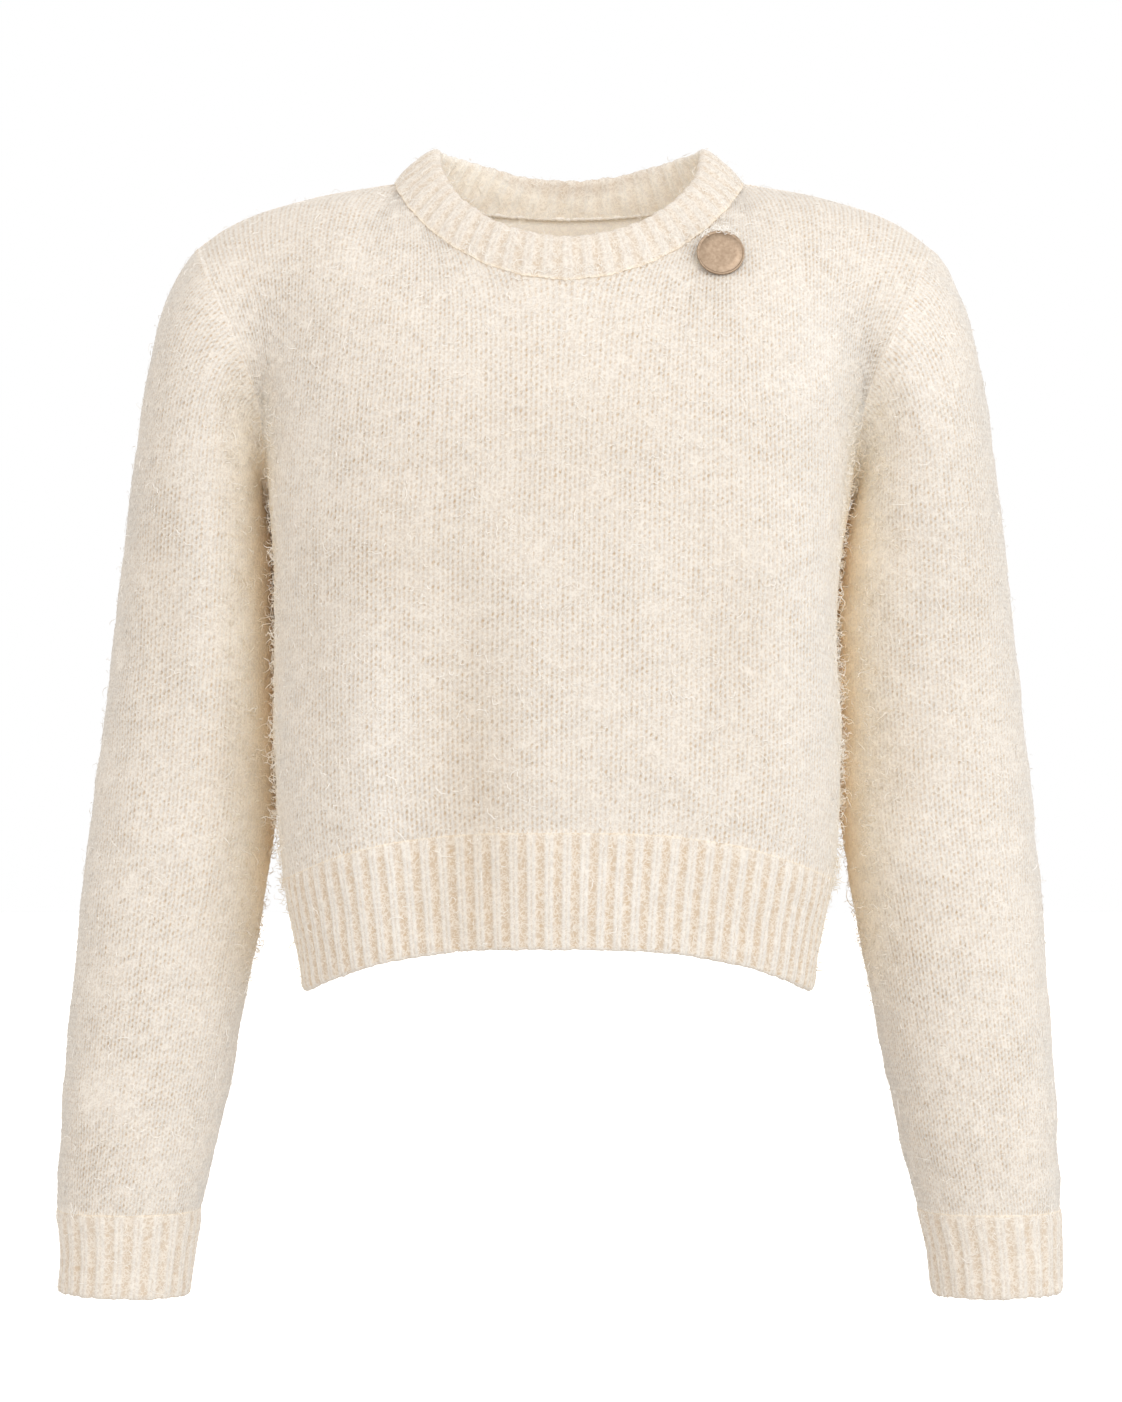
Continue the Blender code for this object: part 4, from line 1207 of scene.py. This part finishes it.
def wool_material(name, light, middle, dark, hairiness=0.6):
    """Brushed wool: painted shade between the yarns, uneven in tone, with fine curled fibres over its surface.
    """
    looks = {
        "Roughness": 0.92, "Specular IOR Level": 0.15,
        "Sheen Weight": 0.2, "Sheen Roughness": 0.55, "Sheen Tint": (1.0, 0.96, 0.92, 1.0),
    }
    material, tree, shader = new_material(name, looks)
    where = node(tree, "TexCoord", {})["Object"]
    patches = noise(tree, where, 30.0, 3.0)
    grain = noise(tree, where, 1100.0, 3.0, 0.7)
    lines = [curled_lines(tree, where, *sizes) for sizes in ((240.0, 0.05, 1), (380.0, 0.06, 2))]
    hairs = worked(tree, "MAXIMUM", *lines)
    # The ramp runs from the light colour to the painted shade between the yarns, with random grain and patches
    # of tone
    tone = worked(tree, "MULTIPLY_ADD", grain, 0.35, stored(tree, "shade"))
    tone = worked(tree, "ADD", tone, worked(tree, "MULTIPLY", patches, 0.08))
    tone = worked(tree, "SUBTRACT", tone, 0.2)
    colour = ramped(tree, tone, (0.0, light), (0.95, dark), (0.45, middle))
    colour = mixed(tree, worked(tree, "MULTIPLY", hairs, hairiness), colour, FIBRE_COLOUR)
    # Painted bounce light: where little light reaches, the colour is multiplied by a lighter, warmer tint
    deep = worked(tree, "POWER", stored(tree, "depth"), 1.6)
    deep = worked(tree, "MULTIPLY", deep, 1.3, use_clamp=True)
    colour = mixed(tree, deep, colour, PAINTED_BOUNCE_TINT, blend_type="MULTIPLY")
    # Painted light and shade of the creases: each channel of the colour gains or loses by its share
    gain = {0: stored(tree, "painted_shading"), 1: PAINTED_SHADING_GAIN, 2: (1.0, 1.0, 1.0)}
    lifted = node(tree, "VectorMath", gain, operation="MULTIPLY_ADD")[0]
    colour = node(tree, "VectorMath", {0: colour, 1: lifted}, operation="MULTIPLY")[0]
    height = worked(tree, "MULTIPLY_ADD", hairs, 0.8, grain)
    fill(tree, shader, {"Base Color": colour, "Normal": bumped(tree, height, 0.3, 0.0004)})
    return material


def hair_material(name, deep, middle, light):
    """Fine loose hairs, each a little lighter or darker than the next, and darker deep in a crease with
    painted shade.
    """
    looks = {"Roughness": 0.75, "Specular IOR Level": 0.25, "Sheen Weight": 0.2}
    material, tree, shader = new_material(name, looks)
    colour = ramped(tree, stored(tree, "tone"), (0.0, deep), (1.0, light), (0.5, middle))
    fill(tree, shader, {"Base Color": colour})
    return material


def badge_material():
    """Satin rose gold with a fine turned and brushed grain."""
    material, tree, shader = new_material("satin_badge", {"Metallic": 0.9})
    grain = noise(tree, node(tree, "TexCoord", {})["Object"], 520.0, 3.0, 0.65)
    colour = ramped(tree, grain, (0.3, (0.32, 0.23, 0.16)), (0.75, (0.48, 0.365, 0.27)))
    rough = node(tree, "MapRange", {"Value": grain, "To Min": 0.34, "To Max": 0.5})["Result"]
    normal = bumped(tree, grain, 0.25, 0.0001)
    fill(tree, shader, {"Base Color": colour, "Roughness": rough, "Normal": normal})
    return material


def make_badge_piece(material):
    """The badge as a turned disc with a raised border, where the CAD node lies. Returns its place."""
    found = np.array([vertex.co for vertex in bpy.data.objects["badge"].data.vertices]) / MM
    middle = (found.max(axis=0) + found.min(axis=0)) / 2
    axis = np.linalg.svd(found - found.mean(axis=0))[2][2]
    if axis[1] > 0:
        axis = -axis
    right = unit(np.cross((0.0, 0.0, 1.0), axis))
    up = np.cross(axis, right)
    turned = math.radians(BADGE_UPRIGHT)
    foot = middle - up * BADGE_RIM
    sine, cosine = math.sin(turned), math.cos(turned)
    axis, up = axis * cosine - up * sine, up * cosine + axis * sine
    middle = foot + up * BADGE_RIM
    angle = np.arange(BADGE_STEPS) * 2 * math.pi / BADGE_STEPS
    ring = np.cos(angle)[:, None] * right + np.sin(angle)[:, None] * up
    rows = [middle + ring * radius + axis * high for radius, high in BADGE_PROFILE[1:-1]]
    ends = [[middle + axis * BADGE_PROFILE[end][1]] for end in (0, -1)]
    points = np.concatenate([ends[0], *rows, ends[1]])
    faces = []
    starts = range(1, len(points) - 1, BADGE_STEPS)
    for place in range(BADGE_STEPS):
        after = (place + 1) % BADGE_STEPS
        faces.append((0, 1 + place, 1 + after))
        faces += [(a + place, b + place, b + after, a + after) for a, b in zip(starts[:-1], starts[1:])]
        faces.append((starts[-1] + after, starts[-1] + place, len(points) - 1))
    local = (points - middle) @ np.stack([right, up], axis=1) / 60 + (0.25, 0.5)
    local[(points - middle) @ axis < 0, 0] += 0.5
    corners = np.concatenate([local[list(face)] for face in faces])
    piece = add_piece("badge_disc", points, faces, corners, {}, material)
    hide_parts("badge")
    return middle, axis, right, up


def badge_tuft(place, material):
    """Loose hairs of the collar that lie over the top edge of the badge."""
    middle, axis, right, up = place
    random = np.random.default_rng(TUFT_SEED)
    turn = random.normal(0.05, 0.42, TUFT_HAIRS)
    far = BADGE_RIM + random.uniform(-0.5, 2.6, TUFT_HAIRS)
    way = np.sin(turn)[:, None] * right + np.cos(turn)[:, None] * up
    roots = middle + way * far[:, None] + axis * random.uniform(0.2, 1.2, TUFT_HAIRS)[:, None]
    out, ahead = np.tile(axis, (TUFT_HAIRS, 1)), np.tile(up, (TUFT_HAIRS, 1))
    points, faces, maps, tone = strands(roots, out, ahead, random, *TUFT_SIZES, np.ones(TUFT_HAIRS))
    return add_piece("halo_tuft", points, faces, maps, {"tone": 0.7 + 0.3 * tone}, material)


def seam_piece(seam, material):
    """The linking seam that runs round the inside of the neck below the collar."""
    line = at_shares(seam, np.arange(SEAM_POINTS) / SEAM_POINTS)
    along = ring_directions(line)
    inward = unit(line.mean(axis=0) * (1, 1, 0) - line * (1, 1, 0))
    down = unit(np.cross(along, inward))
    down *= -np.sign(down[:, 2:])
    middle = line + inward * SEAM_IN + down * SEAM_DOWN
    radius = np.where(np.arange(SEAM_POINTS) % 2, *SEAM_RADII)
    turn = np.arange(SEAM_SIDES) * 2 * math.pi / SEAM_SIDES
    ring = np.cos(turn)[None, :, None] * inward[:, None] + np.sin(turn)[None, :, None] * down[:, None]
    points = (middle[:, None] + ring * radius[:, None, None]).reshape(-1, 3)
    i, j = np.meshgrid(np.arange(SEAM_POINTS), np.arange(SEAM_SIDES), indexing="ij")
    here, after, beside = i * SEAM_SIDES, (i + 1) % SEAM_POINTS * SEAM_SIDES, (j + 1) % SEAM_SIDES
    faces = np.stack([here + j, here + beside, after + beside, after + j]).reshape(4, -1).T
    places = np.stack([i, j, i, j + 1, i + 1, j + 1, i + 1, j]).reshape(4, 2, -1).transpose(2, 0, 1)
    maps = (places / (SEAM_POINTS, SEAM_SIDES)).reshape(-1, 2)
    faces, maps = turned_out(faces.tolist(), maps, points)
    values = {key: np.full(len(points), value) for key, value in SEAM_VALUES.items()}
    return add_piece("neck_seam", points, faces, maps, values, material)


def solids_tree():
    """The faces of the CAD solids, for rays to be cast against."""
    points, faces = [], []
    for made in bpy.data.objects:
        if made.type == "MESH":
            start = len(points)
            points += [made.matrix_world @ vertex.co for vertex in made.data.vertices]
            faces += [[start + corner for corner in face.vertices] for face in made.data.polygons]
    return BVHTree.FromPolygons(points, faces)


def cuff_rings(sleeve, sign):
    """Closed rings of a cuff, from the lowest row of its sleeve down."""
    rings = [sleeve[:, 0]]
    for sizes in rows_of(CUFF_RINGS):
        ring = sleeve_ring(sizes, DENSE)
        ring[:, 2] -= CUFF_TILT * (sizes["outer"] - ring[:, 0]) / (sizes["outer"] - sizes["inner"])
        rings.append(ring * (sign, 1, 1))
    return [at_shares(ring, np.arange(CUFF_POINTS) / CUFF_POINTS) for ring in rings]


def hem_rings(front, back):
    """Closed rings of the hem rib, from the lowest row of the front and back down."""
    rings = [joined_halves(front[:, 0], back[:, 0])]
    for sizes in rows_of(HEM_SECTIONS):
        rings.append(shifted(joined_halves(half_section(sizes, "front"), half_section(sizes, "back"))))
    return [at_shares(ring, np.arange(HEM_POINTS) / HEM_POINTS) for ring in rings]


def band_steps(sheet):
    """Rows of a folded band: fine on its outside, finest round its edge and coarse on its inside."""
    most = sheet["travel"][:, -1].mean()
    outer = np.arange(0, most / 2 - 2.5, COURSE / 2)
    edge = np.arange(outer[-1] + 1.2, most / 2 + 2.6, 0.9)
    inner = np.arange(edge[-1] + 3.0, most + 12.0, 5.0)
    return np.concatenate([outer, edge, inner])


def state_cut(sheet, knitted):
    """Works out the cut of what shows of a sheet, all round on a tube and for one layer of a folded band, but
    keeps nothing of it.
    """
    area, across = cells_of(sheet)
    area = area.sum() * MM * MM
    widths = np.linalg.norm(across, axis=2).sum(axis=0) * MM
    long = sheet["travel"][:, -1].max() * MM
    if knitted:
        widths = widths[sheet["curves"][..., 2].mean(axis=0) < UNDERARM]
    else:
        area, long = area / 2, long / 2


def dress():
    """Builds every piece of the sweater."""
    # The last colour of each wool is its painted shade between the yarns
    wool = wool_material("brushed_wool", (0.79, 0.76, 0.73), (0.70, 0.63, 0.56), (0.64, 0.48, 0.32))
    ribbed = wool_material("ribbed_wool", (0.765, 0.735, 0.70), (0.695, 0.62, 0.545), (0.60, 0.46, 0.32))
    # The hair's first colour is its painted shade deep in a crease
    hair = hair_material("wool_hair", (0.70, 0.60, 0.45), (0.85, 0.81, 0.75), (0.93, 0.905, 0.87))
    solids = solids_tree()

    front, back = panel_skin("front"), panel_skin("back")
    sheets = {
        "front": panel_sheet(front, "front"),
        "back": panel_sheet(back, "back"),
        "sleeve_left": sleeve_sheet(front, back, 1),
        "sleeve_right": sleeve_sheet(front, back, -1),
    }
    level = {name: sheet["level"] for name, sheet in sheets.items()}
    sheets["hem_rib"] = band_sheet(hem_rings(level["front"], level["back"]), HEM_RIBS, "body")
    sheets["cuff_left"] = band_sheet(cuff_rings(level["sleeve_left"], 1), CUFF_RIBS, "left")
    sheets["cuff_right"] = band_sheet(cuff_rings(level["sleeve_right"], -1), CUFF_RIBS, "right")
    neck = slice(SHOULDER_COLUMNS, SHOULDER_COLUMNS + NECK_COLUMNS + 1)
    seam = joined_halves(front[-1, neck], back[-1, neck])
    edge = shifted(joined_halves(neck_curve("front edge"), neck_curve("back edge")))
    sheets["collar"] = collar_sheet(seam, edge, COLLAR_RIBS)
    for sheet in sheets.values():
        set_openness(sheet, solids)

    for number, name in enumerate(KNITTED):
        knit_piece(name, sheets[name], KNIT_SEED + SEED_STEP * number, wool)
    for number, name in enumerate(BANDS[:-1]):
        sheet, seed = sheets[name], BAND_SEED + SEED_STEP * number
        band_piece(name, sheet, band_steps(sheet), BAND_STRENGTH, seed, ribbed)
    collar = sheets["collar"]
    steps = np.arange(0, collar["travel"][:, -1].max() + COURSE, COURSE / 2)
    band_piece("collar", collar, steps, COLLAR_STRENGTH, COLLAR_SEED, ribbed, COLLAR_DROP)

    for number, (name, count) in enumerate(HAIRS.items()):
        others = [fuzz_piece(name, sheets[name], count, HALO_SEED + number, hair)]
        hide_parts(name)
        if name == "front":
            others.append(badge_tuft(make_badge_piece(badge_material()), hair))
        if name == "collar":
            others.append(seam_piece(seam, ribbed))
        state_cut(sheets[name], name in KNITTED)


def linked(name, data):
    """A new object in the scene."""
    made = bpy.data.objects.new(name, data)
    bpy.context.scene.collection.objects.link(made)
    return made


def light(name, kind, **settings):
    """A light in the scene, with its settings."""
    data = bpy.data.lights.new(name, kind)
    for key, value in settings.items():
        setattr(data, key, value)
    return linked(name, data)


def set_stage():
    """The pale floor, the world, the lights and the camera."""
    scene = bpy.context.scene
    mesh = bpy.data.meshes.new("floor")
    corners = [(FLOOR_HALF * x, FLOOR_HALF * y, FLOOR_Z) for x, y in ((-1, -1), (1, -1), (1, 1), (-1, 1))]
    mesh.from_pydata(corners, [], [(0, 1, 2, 3)])
    pale = {
        "Base Color": (0.95, 0.95, 0.95, 1.0), "Roughness": 1.0,
        "Emission Color": (1.0, 1.0, 1.0, 1.0), "Emission Strength": 0.6,
    }
    mesh.materials.append(new_material("pale_floor", pale)[0])
    floor = linked("floor", mesh)
    floor.visible_diffuse = False

    # The camera sees a white world, and the sweater gets a dimmer and warmer light from it
    scene.world = bpy.data.worlds.new("studio")
    scene.world.use_nodes = True
    sky = scene.world.node_tree
    seen = node(sky, "LightPath", {})["Is Camera Ray"]
    strength = node(sky, "MapRange", {"Value": seen, "To Min": WORLD_STRENGTH, "To Max": 1.0})["Result"]
    tint = mixed(sky, seen, WORLD_COLOUR, (1.0, 1.0, 1.0, 1.0))
    fill(sky, sky.nodes["Background"], {"Strength": strength, "Color": tint})
    scene.cycles.max_bounces = scene.cycles.diffuse_bounces = 24
    scene.view_settings.view_transform = "Standard"
    scene.view_settings.look = "None"

    key = light("key", "AREA", shape="SQUARE", size=1.2, energy=10.0)
    key.location = KEY_PLACE
    key.rotation_mode = "QUATERNION"
    key.rotation_quaternion = (Vector(KEY_TARGET) - Vector(KEY_PLACE)).to_track_quat("-Z", "Y")
    for name, (energy, spread, azimuth, elevation, colour) in SUNS.items():
        sun = light(name, "SUN", energy=energy, angle=math.radians(spread), color=colour)
        sun.rotation_euler = (math.radians(90 - elevation), 0.0, math.radians(azimuth))

    data = bpy.data.cameras.new("camera")
    data.sensor_width = SENSOR
    data.lens = SENSOR * CAMERA_FAR / (PHOTO_HIGH * PIXEL * MM)
    camera = linked("camera", data)
    camera.location = (0.0, -CAMERA_FAR, (ORIGIN_ROW - PHOTO_HIGH / 2) * PIXEL * MM)
    camera.rotation_euler = (math.pi / 2, 0.0, 0.0)
    scene.camera = camera


dress()
set_stage()
